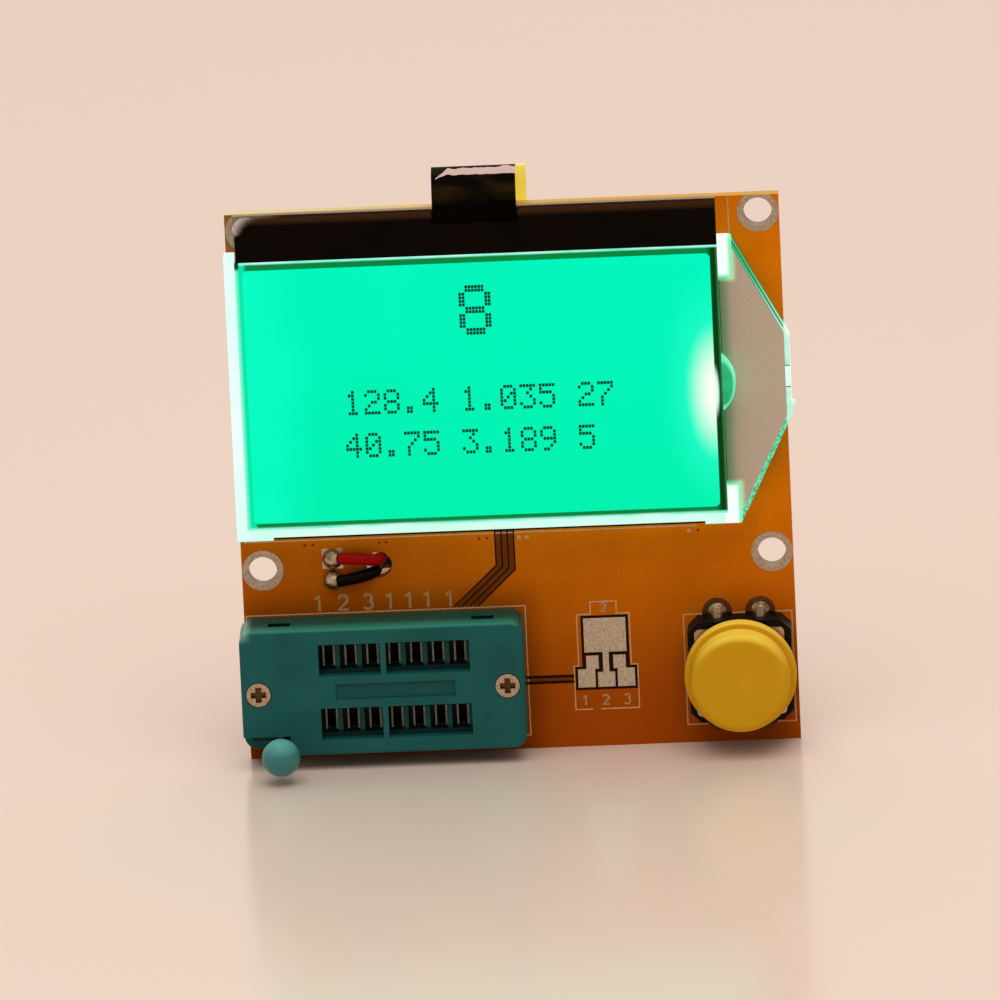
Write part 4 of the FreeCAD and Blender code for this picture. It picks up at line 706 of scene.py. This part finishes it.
def battery_finish():
    """Plain sleeve: dark, with a copper-coloured band by the posts, rolled in round the two end plates."""
    paint = Finish("battery_sleeve", Coat_Weight=0.2, Coat_Roughness=0.2, gloss=0.3)
    x, y, z = paint.axes()
    scuff = paint.noise(SCUFF_GRAIN, 5)
    band = paint.under(x, BATTERY_LOW.x + BATTERY_BAND)
    dark = paint.fade(scuff, 0.45, 0.75, srgb(34, 35, 38), srgb(52, 53, 56))
    copper = paint.mottled(scuff, srgb(176, 112, 60), srgb(150, 92, 48))
    sleeve = paint.mix(band, dark, copper)
    end = paint.times(paint.over(paint.size(paint.facing()[0]), FLAT_END),
                      paint.within(y, BATTERY_LOW.y, BATTERY_HIGH.y, SLEEVE_ROLL),
                      paint.within(z, BATTERY_LOW.z, BATTERY_HIGH.z, SLEEVE_ROLL))
    foot = paint.times(end, paint.over(x, BATTERY_HIGH.x - SLEEVE_ROLL))
    plate = paint.mottled(scuff, srgb(190, 186, 178), srgb(164, 160, 152))
    plate = paint.mix(foot, srgb(26, 26, 28), plate)
    shine = paint.times(band, 0.7, paint.minus(1.0, end))
    paint.set(Base_Color=paint.mix(end, sleeve, plate), Metallic=paint.most(shine, foot),
              Roughness=paint.uneven(scuff, 0.28, 0.42))
    return paint.material


INK_GRAIN = 0.18 * MM


def ink_finish(name, colour, shade):
    """Pale screen-printed ink, thin enough to let some of the mask through."""
    paint = Finish(name, gloss=0.2)
    worn = paint.noise(INK_GRAIN, 4)
    paint.set(Base_Color=paint.fade(worn, 0.35, 0.7, colour, shade),
              Roughness=paint.uneven(worn, 0.5, 0.65))
    return paint.material


FINISHES = {
    "board_mask": board_finish(),
    "tinned_metal": metal("tinned", srgb(206, 192, 174), srgb(172, 156, 134), 0.5),
    "white_film": moulded("white_film", srgb(236, 244, 240), srgb(222, 234, 228), 0.5),
    "acrylic": guide_finish(),
    "lamp_resin": lamp_finish(),
    "mask_film": film_finish(),
    "polarizer": display_finish(),
    "seal_resin": seal_finish(),
    "black_resin": coat_finish(),
    "chip_black": moulded("chip_epoxy", srgb(30, 30, 31), srgb(22, 22, 23), 0.55),
    "flex_film": flex_finish(),
    "socket_plastic": socket_finish(),
    "spring_bronze": contact_finish(),
    "screw_steel": metal("lever_steel", srgb(226, 196, 172), srgb(196, 158, 130), 0.3),
    # The knob's paler top is painted light.
    "knob_plastic": moulded("knob_teal", srgb(64, 128, 126), srgb(56, 116, 114), 0.35,
                            top=srgb(90, 164, 156)),
    "switch_plastic": moulded("switch_black", srgb(16, 9, 6), srgb(10, 6, 4), 0.45, gloss=0.1),
    "switch_steel": metal("switch_steel", srgb(212, 186, 160), srgb(184, 154, 124), 0.4),
    # The cap's paler top is painted light.
    "cap_plastic": moulded("cap_yellow", srgb(212, 159, 26), srgb(204, 151, 20), 0.5, depth=MOULD_DEPTH / 2,
                           gloss=0.04, top=srgb(250, 208, 74)),
    "solder": metal("solder", srgb(210, 184, 156), srgb(116, 94, 72), 0.28, grain=0.7 * MM,
                    depth=0.12 * MM),
    "can_steel": metal("can_steel", srgb(206, 204, 198), srgb(186, 184, 178), 0.28, stretch=(0.1, 1, 1)),
    "resistor_glaze": capped_finish("resistor_glaze", srgb(24, 24, 26), srgb(34, 34, 37), "resistors", 2),
    "ceramic_tan": capped_finish("ceramic_tan", srgb(178, 142, 100), srgb(160, 124, 84), "capacitors", 0),
    "battery_wrap": battery_finish(),
    "nickel": metal("nickel", srgb(214, 208, 196), srgb(190, 182, 168), 0.2),
    "snap_vinyl": moulded("snap_vinyl", srgb(24, 24, 25), srgb(34, 34, 35), 0.5),
    "wire_red": moulded("wire_red", srgb(164, 7, 4), srgb(142, 4, 3), 0.32, gloss=0.06),
    "wire_black": moulded("wire_black", srgb(9, 4, 3), srgb(14, 8, 6), 0.32, gloss=0.04),
}
NODE_FINISHES = {
    "lcd_front_glass": front_glass_finish(),
    "lcd_rear_glass": rear_glass_finish(),
    "zif_screws": screw_finish(),
    "mounting_rings": metal("ring_tin", srgb(194, 178, 156), srgb(156, 138, 116), 0.5),
}
INK_FINISH = ink_finish("legend_ink", srgb(214, 176, 132), srgb(190, 136, 80))
NUMBER_FINISH = ink_finish("number_ink", srgb(188, 150, 108), srgb(164, 116, 70))
# Dark finish of the bare gaps between copper, also used for the painted shadow line under the display.
GAP_AND_SHADOW_FINISH = moulded("bare_gap_and_shadow", srgb(38, 16, 3), srgb(26, 10, 2), 0.5, gloss=0.05)
MARK_FINISH = moulded("mask_mark", srgb(146, 60, 5), srgb(124, 48, 4), 0.5, gloss=0.05)
TRACE_FINISH = moulded("covered_copper", srgb(122, 56, 5), srgb(104, 46, 4), 0.42, gloss=0.08)
FLUX_FINISH = moulded("flux_ring", srgb(112, 62, 16), srgb(78, 42, 12), 0.3)
BEAD_FINISH = moulded("coat_bead", srgb(8, 4, 2), srgb(5, 2, 1), 0.4, gloss=0.02)
DOT_FINISH = moulded("display_dots", srgb(0, 74, 46), srgb(0, 60, 37), 0.4, gloss=0.05)


def dress_nodes():
    """Gives each solid its finish."""
    for row in frame["record"]["subparts"]:
        node = NODES[row["node"]]
        node.data.materials.clear()
        node.data.materials.append(NODE_FINISHES.get(row["node"]) or FINISHES[row["material_slot"]])


def linked(name, data):
    """A new object in the scene."""
    item = bpy.data.objects.new(name, data)
    bpy.context.scene.collection.objects.link(item)
    return item


def piece(name, data, finish):
    """A new piece that rides on the board."""
    item = linked(name, data)
    data.materials.append(finish)
    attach(item, "board")
    return item


def flat_prism(bm, outline, back, front):
    """A thin closed plate that faces the viewer; the outline is (x, z) points, anticlockwise."""
    rear = [bm.verts.new((x, back, z)) for x, z in outline]
    face = [bm.verts.new((x, front, z)) for x, z in outline]
    bm.faces.new(face)
    bm.faces.new(list(reversed(rear)))
    for i in range(len(outline)):
        j = (i + 1) % len(outline)
        bm.faces.new((rear[i], rear[j], face[j], face[i]))


SHARPEST_MITRE = 0.7


def line_sides(points, width, closed):
    """The right and left edge of a flat line of one width at each of its points, mitred at the corners."""
    count = len(points)
    sides = []
    for i, point in enumerate(points):
        before = points[i - 1] if i or closed else None
        after = points[(i + 1) % count] if i + 1 < count or closed else None
        headings = [(point - before).normalized()] if before else []
        headings += [(after - point).normalized()] if after else []
        across = [Vector((-heading.y, heading.x)) for heading in headings]
        mitre = sum(across, Vector((0, 0))).normalized()
        offset = mitre * (width / 2 / max(mitre.dot(across[0]), SHARPEST_MITRE))
        sides.append((point - offset, point + offset))
    return sides


def strip(bm, points, width, back, front, closed):
    """A thin closed band along a line; the points are (x, z)."""
    rings = []
    for right, left in line_sides(points, width, closed):
        corners = ((right, back), (right, front), (left, front), (left, back))
        rings.append([bm.verts.new((edge.x, y, edge.y)) for edge, y in corners])
    spans = list(zip(rings, rings[1:]))
    if closed:
        spans.append((rings[-1], rings[0]))
    else:
        bm.faces.new(rings[0])
        bm.faces.new(rings[-1])
    for ring, after in spans:
        for i in range(len(ring)):
            j = (i + 1) % len(ring)
            bm.faces.new((ring[i], ring[j], after[j], after[i]))


def finished(name, bm, finish):
    """Turns drawn faces into a piece of the board."""
    bmesh.ops.recalc_face_normals(bm, faces=bm.faces)
    mesh = bpy.data.meshes.new(name)
    bm.to_mesh(mesh)
    bm.free()
    return piece(name, mesh, finish)


def flat_piece(name, outlines, back, thickness, finish):
    """A piece made of thin plates on one plane."""
    bm = bmesh.new()
    for outline in outlines:
        flat_prism(bm, outline, back, back - thickness)
    return finished(name, bm, finish)


def lines_piece(name, lines, width, back, thickness, finish, closed=False):
    """A piece made of flat lines on one plane; their points are in millimetres."""
    bm = bmesh.new()
    for points in lines:
        strip(bm, [Vector(point) * MM for point in points], width, back, back - thickness, closed)
    return finished(name, bm, finish)


# Screen printing on the board, in millimetres across (X) and up (Z).

LEGEND_LINE = 0.14 * MM
PAD_FRAME = [(8.9, 4.45), (13.42, 4.45), (13.42, 9.7), (12.68, 9.7), (12.68, 15.88), (11.2, 15.88),
             (11.2, 17.35), (8.18, 17.35), (8.18, 15.88), (6.56, 15.88), (6.56, 9.7), (6.02, 9.7),
             (6.02, 4.45), (8.0, 4.45)]
SWITCH_FRAME = [(18.95, 2.15), (31.55, 2.15), (31.55, 15.4), (18.95, 15.4)]
DISPLAY_LINES = [[(26.14, 60.9), (26.14, 65.15)], [(-31.6, 26.04), (21.0, 26.04)]]
# Painted shadow line along the display's lower edge, and its width.
DISPLAY_SHADOW = [(-31.4, 26.42), (26.0, 26.42)]
DISPLAY_SHADOW_WIDTH = 0.24 * MM
SOCKET_MARGIN = 0.25
NUMBER_LINE = 0.34 * MM
NUMBER_ROW_Z = 18.4
NUMBER_ROW = [("1", -23.3), ("2", -20.42), ("3", -17.54), ("1", -15.03), ("1", -12.79), ("1", -10.68),
              ("1", -8.08)]
ROW_HEIGHT = 1.85
PAD_NUMBER_LINE = NUMBER_LINE * 0.7
# Each number by the test pads: its text, middle across and up, and height.
PAD_NUMBERS = [("1", 7.16, 5.55, 1.2), ("2", 9.54, 5.55, 1.2), ("3", 12.05, 5.55, 1.2),
               ("2", 9.68, 16.65, 1.0)]


def arc(x, z, radius, start, end, steps=10):
    """Points of an arc, with its angles in degrees."""
    turns = [math.radians(start + (end - start) * i / steps) for i in range(steps + 1)]
    return [(x + radius * math.cos(turn), z + radius * math.sin(turn)) for turn in turns]


# Strokes of the printed numbers, one unit high and centred.
NUMBER_STROKES = {
    "1": [[(-0.2, 0.26), (0.06, 0.46), (0.06, -0.5)]],
    "2": [arc(0.0, 0.2, 0.28, 165, -38) + [(-0.3, -0.45), (0.32, -0.45)]],
    "3": [arc(0.0, 0.23, 0.24, 155, -50) + arc(0.0, -0.21, 0.27, 50, -155)],
}


def make_number(name, text, x, z, height, width):
    """A printed number, in strokes."""
    strokes = [[(x + across * height, z + up * height) for across, up in stroke]
               for stroke in NUMBER_STROKES[text]]
    lines_piece(name, strokes, width, BOARD_LOW.y, INK, NUMBER_FINISH)


def make_legend():
    """Printed frames round the test pads, switch and socket, lines at the display, and plain numbers."""
    low, high = SOCKET_LOW / MM, SOCKET_HIGH / MM
    left = max(low.x - SOCKET_MARGIN, BOARD_LOW.x / MM + SOCKET_MARGIN)
    socket_frame = [(left, low.z - SOCKET_MARGIN), (high.x + SOCKET_MARGIN, low.z - SOCKET_MARGIN),
                    (high.x + SOCKET_MARGIN, high.z + SOCKET_MARGIN), (left, high.z + SOCKET_MARGIN)]
    prints = [("pad_frame", [PAD_FRAME], False), ("display_edge", DISPLAY_LINES, False),
              ("switch_frame", [SWITCH_FRAME], True), ("socket_frame", [socket_frame], True)]
    for name, lines, closed in prints:
        lines_piece(f"legend_{name}", lines, LEGEND_LINE, BOARD_LOW.y, INK, INK_FINISH, closed)
    for i, (text, x) in enumerate(NUMBER_ROW):
        make_number(f"legend_row_{i}", text, x, NUMBER_ROW_Z, ROW_HEIGHT, NUMBER_LINE)
    for i, (text, x, z, height) in enumerate(PAD_NUMBERS):
        make_number(f"legend_pad_{i}", text, x, z, height, PAD_NUMBER_LINE)


BEAD_WIDTH = 0.4 * MM
BEAD_HEIGHT = 0.2 * MM
# Gaps of the runs from the display down to the socket: each goes down to its corner and then slants left.
RUN_GAPS = 4
RUN_STEP = 0.727
RUN_FILL = 0.8
RUN_GAP = 0.16 * MM
RUN_LEFT = -2.49
RUN_LEAN = 0.02
RUN_TOP = 27.2
RUN_CORNER = 22.18
RUN_CORNER_STEP = 0.2
RUN_END = 17.4
RUN_SLANT = 1.07
# The run from the socket to the test pads, and the gaps on its two sides.
CONTACT_RUN_X = (0.4, 6.0)
CONTACT_RUN_WIDTH = 0.55 * MM
CONTACT_GAPS_Z = (7.86, 8.55)
CONTACT_GAP = 0.32 * MM
PAD_GAPS = [(6.15, 6.8), (13.35, 6.8), (13.35, 9.6), (12.5, 9.6), (12.5, 15.7), (7.0, 15.7), (7.0, 9.6),
            (6.15, 9.6)]
MARK_Z = 25.45
MARK_SIDES = 12
DARK_MARK = 0.17
PALE_MARK = 0.22
DARK_MARKS = (-24.55, -23.6, -15.92, -15.11, -4.33, -3.4, 21.09)
PALE_MARKS = (0.32, 1.24, 20.04)
JOINT_RADIUS = 1.75
JOINT_POINTS = [(22.9, 15.55), (27.9, 15.55), (22.9, 3.05), (27.9, 3.05)]


def circle(x, z, radius, sides=32):
    """Outline of a disc."""
    points = arc(x, z, radius, 0, 360, sides)[:-1]
    return [(across * MM, up * MM) for across, up in points]


def make_fillet():
    """Bead of the black coat along the flat cable's bonded end."""
    left = FLEX_LOW.x / MM
    right = (FLEX_HIGH.x - FLEX_EAR) / MM
    top = COAT_HIGH.z / MM
    low = (PANE_HIGH.z - FLEX_BOND) / MM
    bead = [(left, top), (left, low), (right, low), (right, top)]
    lines_piece("coat_bead", [bead], BEAD_WIDTH, PANE_LOW.y, BEAD_HEIGHT, BEAD_FINISH)


def make_copper():
    """Covered copper runs, the bare gaps beside them, a painted shadow line below the display, small marks
    and flux rings.
    """
    front = BOARD_LOW.y
    gaps = []
    for k in range(RUN_GAPS):
        top_x = RUN_LEFT + RUN_STEP * k
        corner_x = top_x + RUN_LEAN
        corner_z = RUN_CORNER - RUN_CORNER_STEP * k
        end_x = corner_x - (corner_z - RUN_END) * RUN_SLANT
        gaps.append([(top_x, RUN_TOP), (corner_x, corner_z), (end_x, RUN_END)])
    runs = [[tuple(sum(pair) / 2 for pair in zip(a, b)) for a, b in zip(first, second)]
            for first, second in zip(gaps, gaps[1:])]
    lines_piece("covered_runs", runs, RUN_STEP * MM * RUN_FILL, front, INK / 2, TRACE_FINISH)
    lines_piece("run_gaps", gaps, RUN_GAP, front, INK, GAP_AND_SHADOW_FINISH)
    middle_z = sum(CONTACT_GAPS_Z) / 2
    contact_run = [[(x, middle_z) for x in CONTACT_RUN_X]]
    contact_gaps = [[(x, z) for x in CONTACT_RUN_X] for z in CONTACT_GAPS_Z]
    lines_piece("contact_run", contact_run, CONTACT_RUN_WIDTH, front, INK / 2, TRACE_FINISH)
    lines_piece("contact_run_gaps", contact_gaps, CONTACT_GAP, front, INK, GAP_AND_SHADOW_FINISH)
    # Painted shadow line under the display's lower edge.
    lines_piece("display_shadow", [DISPLAY_SHADOW], DISPLAY_SHADOW_WIDTH, front, INK / 2, GAP_AND_SHADOW_FINISH)
    flat_piece("pad_gaps", [[(x * MM, z * MM) for x, z in PAD_GAPS]], front, INK, GAP_AND_SHADOW_FINISH)
    dark_marks = [circle(x, MARK_Z, DARK_MARK, MARK_SIDES) for x in DARK_MARKS]
    pale_marks = [circle(x, MARK_Z, PALE_MARK, MARK_SIDES) for x in PALE_MARKS]
    flux_rings = [circle(x, z, JOINT_RADIUS) for x, z in JOINT_POINTS]
    flat_piece("dark_marks", dark_marks, front, INK, MARK_FINISH)
    flat_piece("pale_marks", pale_marks, front, INK, INK_FINISH)
    flat_piece("flux_rings", flux_rings, front, INK, FLUX_FINISH)


# Readout of the display: plain numbers drawn in dots.

DOT_ROWS = {
    "0": "01110 10001 10011 10101 11001 10001 01110",
    "1": "00100 01100 00100 00100 00100 00100 01110",
    "2": "01110 10001 00001 00110 01000 10000 11111",
    "3": "11111 00010 00100 00010 00001 10001 01110",
    "4": "00010 00110 01010 10010 11111 00010 00010",
    "5": "11111 10000 11110 00001 00001 10001 01110",
    "7": "11111 00001 00010 00100 01000 01000 01000",
    "8": "01110 10001 10001 01110 10001 10001 01110",
    "9": "01110 10001 10001 01111 00001 00010 01100",
    ".": "00000 00000 00000 00000 00000 01100 01100",
}
DOT_PITCH_X = 0.374
DOT_PITCH_Z = 0.424
DOT_FILL = 0.84
CELL_COLUMNS = 6
# Each line of the readout: its text, left end, top, and dots to a font dot each way.
READOUT = [("8", -5.2, 57.2, 2), ("128.4 1.035 27", -18.85, 45.2, 1), ("40.75 3.189 5", -18.95, 40.1, 1)]


def make_readout():
    """Dots of the shown numbers, on the face of the display."""
    dots = []
    for text, left, top, scale in READOUT:
        for place, letter in enumerate(text):
            for row, bits in enumerate(DOT_ROWS.get(letter, "").split()):
                for column, bit in enumerate(bits):
                    if bit == "1":
                        x = left + (place * CELL_COLUMNS + column) * DOT_PITCH_X * scale
                        z = top - row * DOT_PITCH_Z * scale
                        dots += dot_block(x, z, scale)
    flat_piece("display_readout", dots, FILTER_LOW.y, INK, DOT_FINISH)


def dot_block(left, top, scale):
    """The dots of one font cell, as outlines."""
    for i in range(scale):
        for j in range(scale):
            x = left + i * DOT_PITCH_X
            z = top - j * DOT_PITCH_Z
            right = x + DOT_PITCH_X * DOT_FILL
            low = z - DOT_PITCH_Z * DOT_FILL
            yield [(x * MM, low * MM), (right * MM, low * MM), (right * MM, z * MM), (x * MM, z * MM)]


# Wires of the battery lead, along the route of their solids, in millimetres.

WIRE_DIAMETER = 1.4 * MM
RED_ROUTE = [
    (-20.6, -1.62, 23.9), (-19.0, -1.85, 24.0), (-15.8, -1.8, 23.5), (-15.8, 1.7, 23.5), (-15.3, 5.4, 23.2),
    (-12.7, 8.6, 21.9), (-8.4, 10.4, 20.1), (-2.6, 11.2, 18.75), (3.8, 12.0, 18.55), (9.6, 14.9, 18.5),
    (11.8, 20.2, 18.5), (9.7, 25.0, 18.5), (4.3, 27.4, 18.5), (-1.55, 26.8, 18.6), (-6.75, 24.6, 19.4),
    (-11.35, 22.4, 21.2), (-15.75, 20.7, 22.9), (-19.8, 19.4, 23.0), (-23.03, 18.75, 21.2),
    (-24.75, 18.55, 18.1), (-24.75, 18.55, 15.0),
]
BLACK_ROUTE = [
    (-20.9, -1.62, 21.2), (-19.2, -1.75, 21.4), (-16.4, -1.5, 22.1), (-16.4, 1.7, 22.1), (-15.6, 5.6, 21.5),
    (-13.2, 9.4, 20.0), (-8.6, 12.4, 18.7), (-3.4, 13.8, 18.5), (1.0, 14.1, 18.5), (4.3, 14.9, 18.5),
    (6.9, 16.8, 18.5), (7.88, 19.85, 18.5), (6.85, 22.9, 18.5), (4.0, 24.7, 18.5), (0.25, 24.9, 18.5),
    (-3.95, 23.6, 18.7), (-7.95, 21.5, 19.5), (-11.9, 19.3, 21.1), (-15.9, 17.6, 22.5),
    (-19.77, 16.5, 22.7), (-23.02, 16.0, 21.0), (-24.75, 15.95, 18.0), (-24.75, 15.95, 15.0),
]


def make_wire(name, route, node):
    """A wire on one smooth curve, in place of its solid."""
    slot = node.replace("battery_", "")
    curve = bpy.data.curves.new(name, "CURVE")
    curve.dimensions = "3D"
    spline = curve.splines.new("NURBS")
    spline.points.add(len(route) - 1)
    for point, place in zip(spline.points, route):
        point.co = (*(Vector(place) * MM), 1.0)
    spline.order_u = 3
    spline.use_endpoint_u = True
    spline.resolution_u = 8
    curve.bevel_depth = WIRE_DIAMETER / 2
    curve.bevel_resolution = 5
    curve.use_fill_caps = True
    item = piece(name, curve, FINISHES[slot])
    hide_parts(node)


def make_lead():
    """The two wires of the battery lead."""
    make_wire("lead_red", RED_ROUTE, "battery_wire_red")
    make_wire("lead_black", BLACK_ROUTE, "battery_wire_black")


def make_dome():
    """A copy of the switch's snap dome, the part that flattens under the plunger, as a piece with its own
    mesh.
    """
    mesh = NODES["switch_dome"].data.copy()
    mesh.materials.clear()
    dome = piece("snap_dome", mesh, FINISHES["switch_steel"])
    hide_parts("switch_dome")
    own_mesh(dome)


# Floor, light and camera.

FLOOR_SIZE = 6.0
PAPER = srgb(236, 213, 198)
DAYLIGHT = (1.0, 0.96, 0.92)
SKY_STRENGTH = 0.42
# Each lamp: its name, place, size and power.
LAMPS = [("front", (0.0, -0.42, 0.85), 0.8, 4.75), ("back", (0.05, 0.5, 0.8), 0.9, 3.1)]
LAMP_AIM = Vector((0, 0, 0.03))


def make_sky():
    """Even daylight, which mirrors and panes see as pale as the floor."""
    world = bpy.data.worlds.new("studio")
    bpy.context.scene.world = world
    world.use_nodes = True
    tree = world.node_tree
    daylight = tree.nodes["Background"]
    daylight.inputs["Color"].default_value = (*DAYLIGHT, 1.0)
    daylight.inputs["Strength"].default_value = SKY_STRENGTH
    backdrop = tree.nodes.new("ShaderNodeBackground")
    backdrop.inputs["Color"].default_value = PAPER
    rays = tree.nodes.new("ShaderNodeLightPath")
    seen = rays.outputs["Is Camera Ray"]
    for kind in ("Is Glossy Ray", "Is Transmission Ray"):
        either = tree.nodes.new("ShaderNodeMath")
        either.operation = "MAXIMUM"
        tree.links.new(seen, either.inputs[0])
        tree.links.new(rays.outputs[kind], either.inputs[1])
        seen = either.outputs[0]
    choice = tree.nodes.new("ShaderNodeMixShader")
    for socket, source in zip(choice.inputs, (seen, daylight.outputs[0], backdrop.outputs[0])):
        tree.links.new(source, socket)
    tree.links.new(choice.outputs[0], tree.nodes["World Output"].inputs["Surface"])


def make_stage():
    """Pale, slightly glossy floor that runs out of sight, and soft light from above."""
    bpy.ops.mesh.primitive_plane_add(size=FLOOR_SIZE, location=(0, FLOOR_SIZE / 4, 0))
    floor = bpy.context.object
    floor.name = "floor"
    paint = Finish("floor_paper", Base_Color=PAPER, Roughness=0.18, gloss=0.5)
    floor.data.materials.append(paint.material)

    make_sky()
    for name, place, size, power in LAMPS:
        lamp = bpy.data.lights.new(name, "AREA")
        lamp.size = size
        lamp.energy = power
        lamp.color = DAYLIGHT
        item = linked(name, lamp)
        item.location = place
        item.rotation_mode = "QUATERNION"
        item.rotation_quaternion = (LAMP_AIM - Vector(place)).to_track_quat("-Z", "Y")


CAMERA_TARGET = Vector((-1.703, 0.0, 29.771)) * MM
CAMERA_DISTANCE = 2001 * MM
CAMERA_AZIMUTH = math.radians(1.79)
CAMERA_ELEVATION = math.radians(14.758)
CAMERA_ROLL = math.radians(-2.671)
CAMERA_FOCAL_PIXELS = 17265.5
FRAME_PIXELS = 1000


def make_camera():
    """Long lens at the photograph's angle, rolled a little."""
    data = bpy.data.cameras.new("camera")
    data.sensor_width = 36.0
    data.lens = data.sensor_width * CAMERA_FOCAL_PIXELS / FRAME_PIXELS
    data.clip_end = 20.0
    level = math.cos(CAMERA_ELEVATION)
    back = Vector((math.sin(CAMERA_AZIMUTH) * level, -math.cos(CAMERA_AZIMUTH) * level,
                   math.sin(CAMERA_ELEVATION)))
    right = Vector((0, 0, 1)).cross(back).normalized()
    up = back.cross(right)
    turn = Matrix((right, up, back)).transposed() @ Matrix.Rotation(CAMERA_ROLL, 3, "Z")
    item = linked("camera", data)
    item.matrix_world = Matrix.Translation(CAMERA_TARGET + back * CAMERA_DISTANCE) @ turn.to_4x4()
    bpy.context.scene.camera = item


make_camera()
make_lead()
make_dome()
dress_nodes()
make_legend()
make_fillet()
make_copper()
make_readout()
make_stage()
bpy.context.scene.view_settings.view_transform = "Standard"
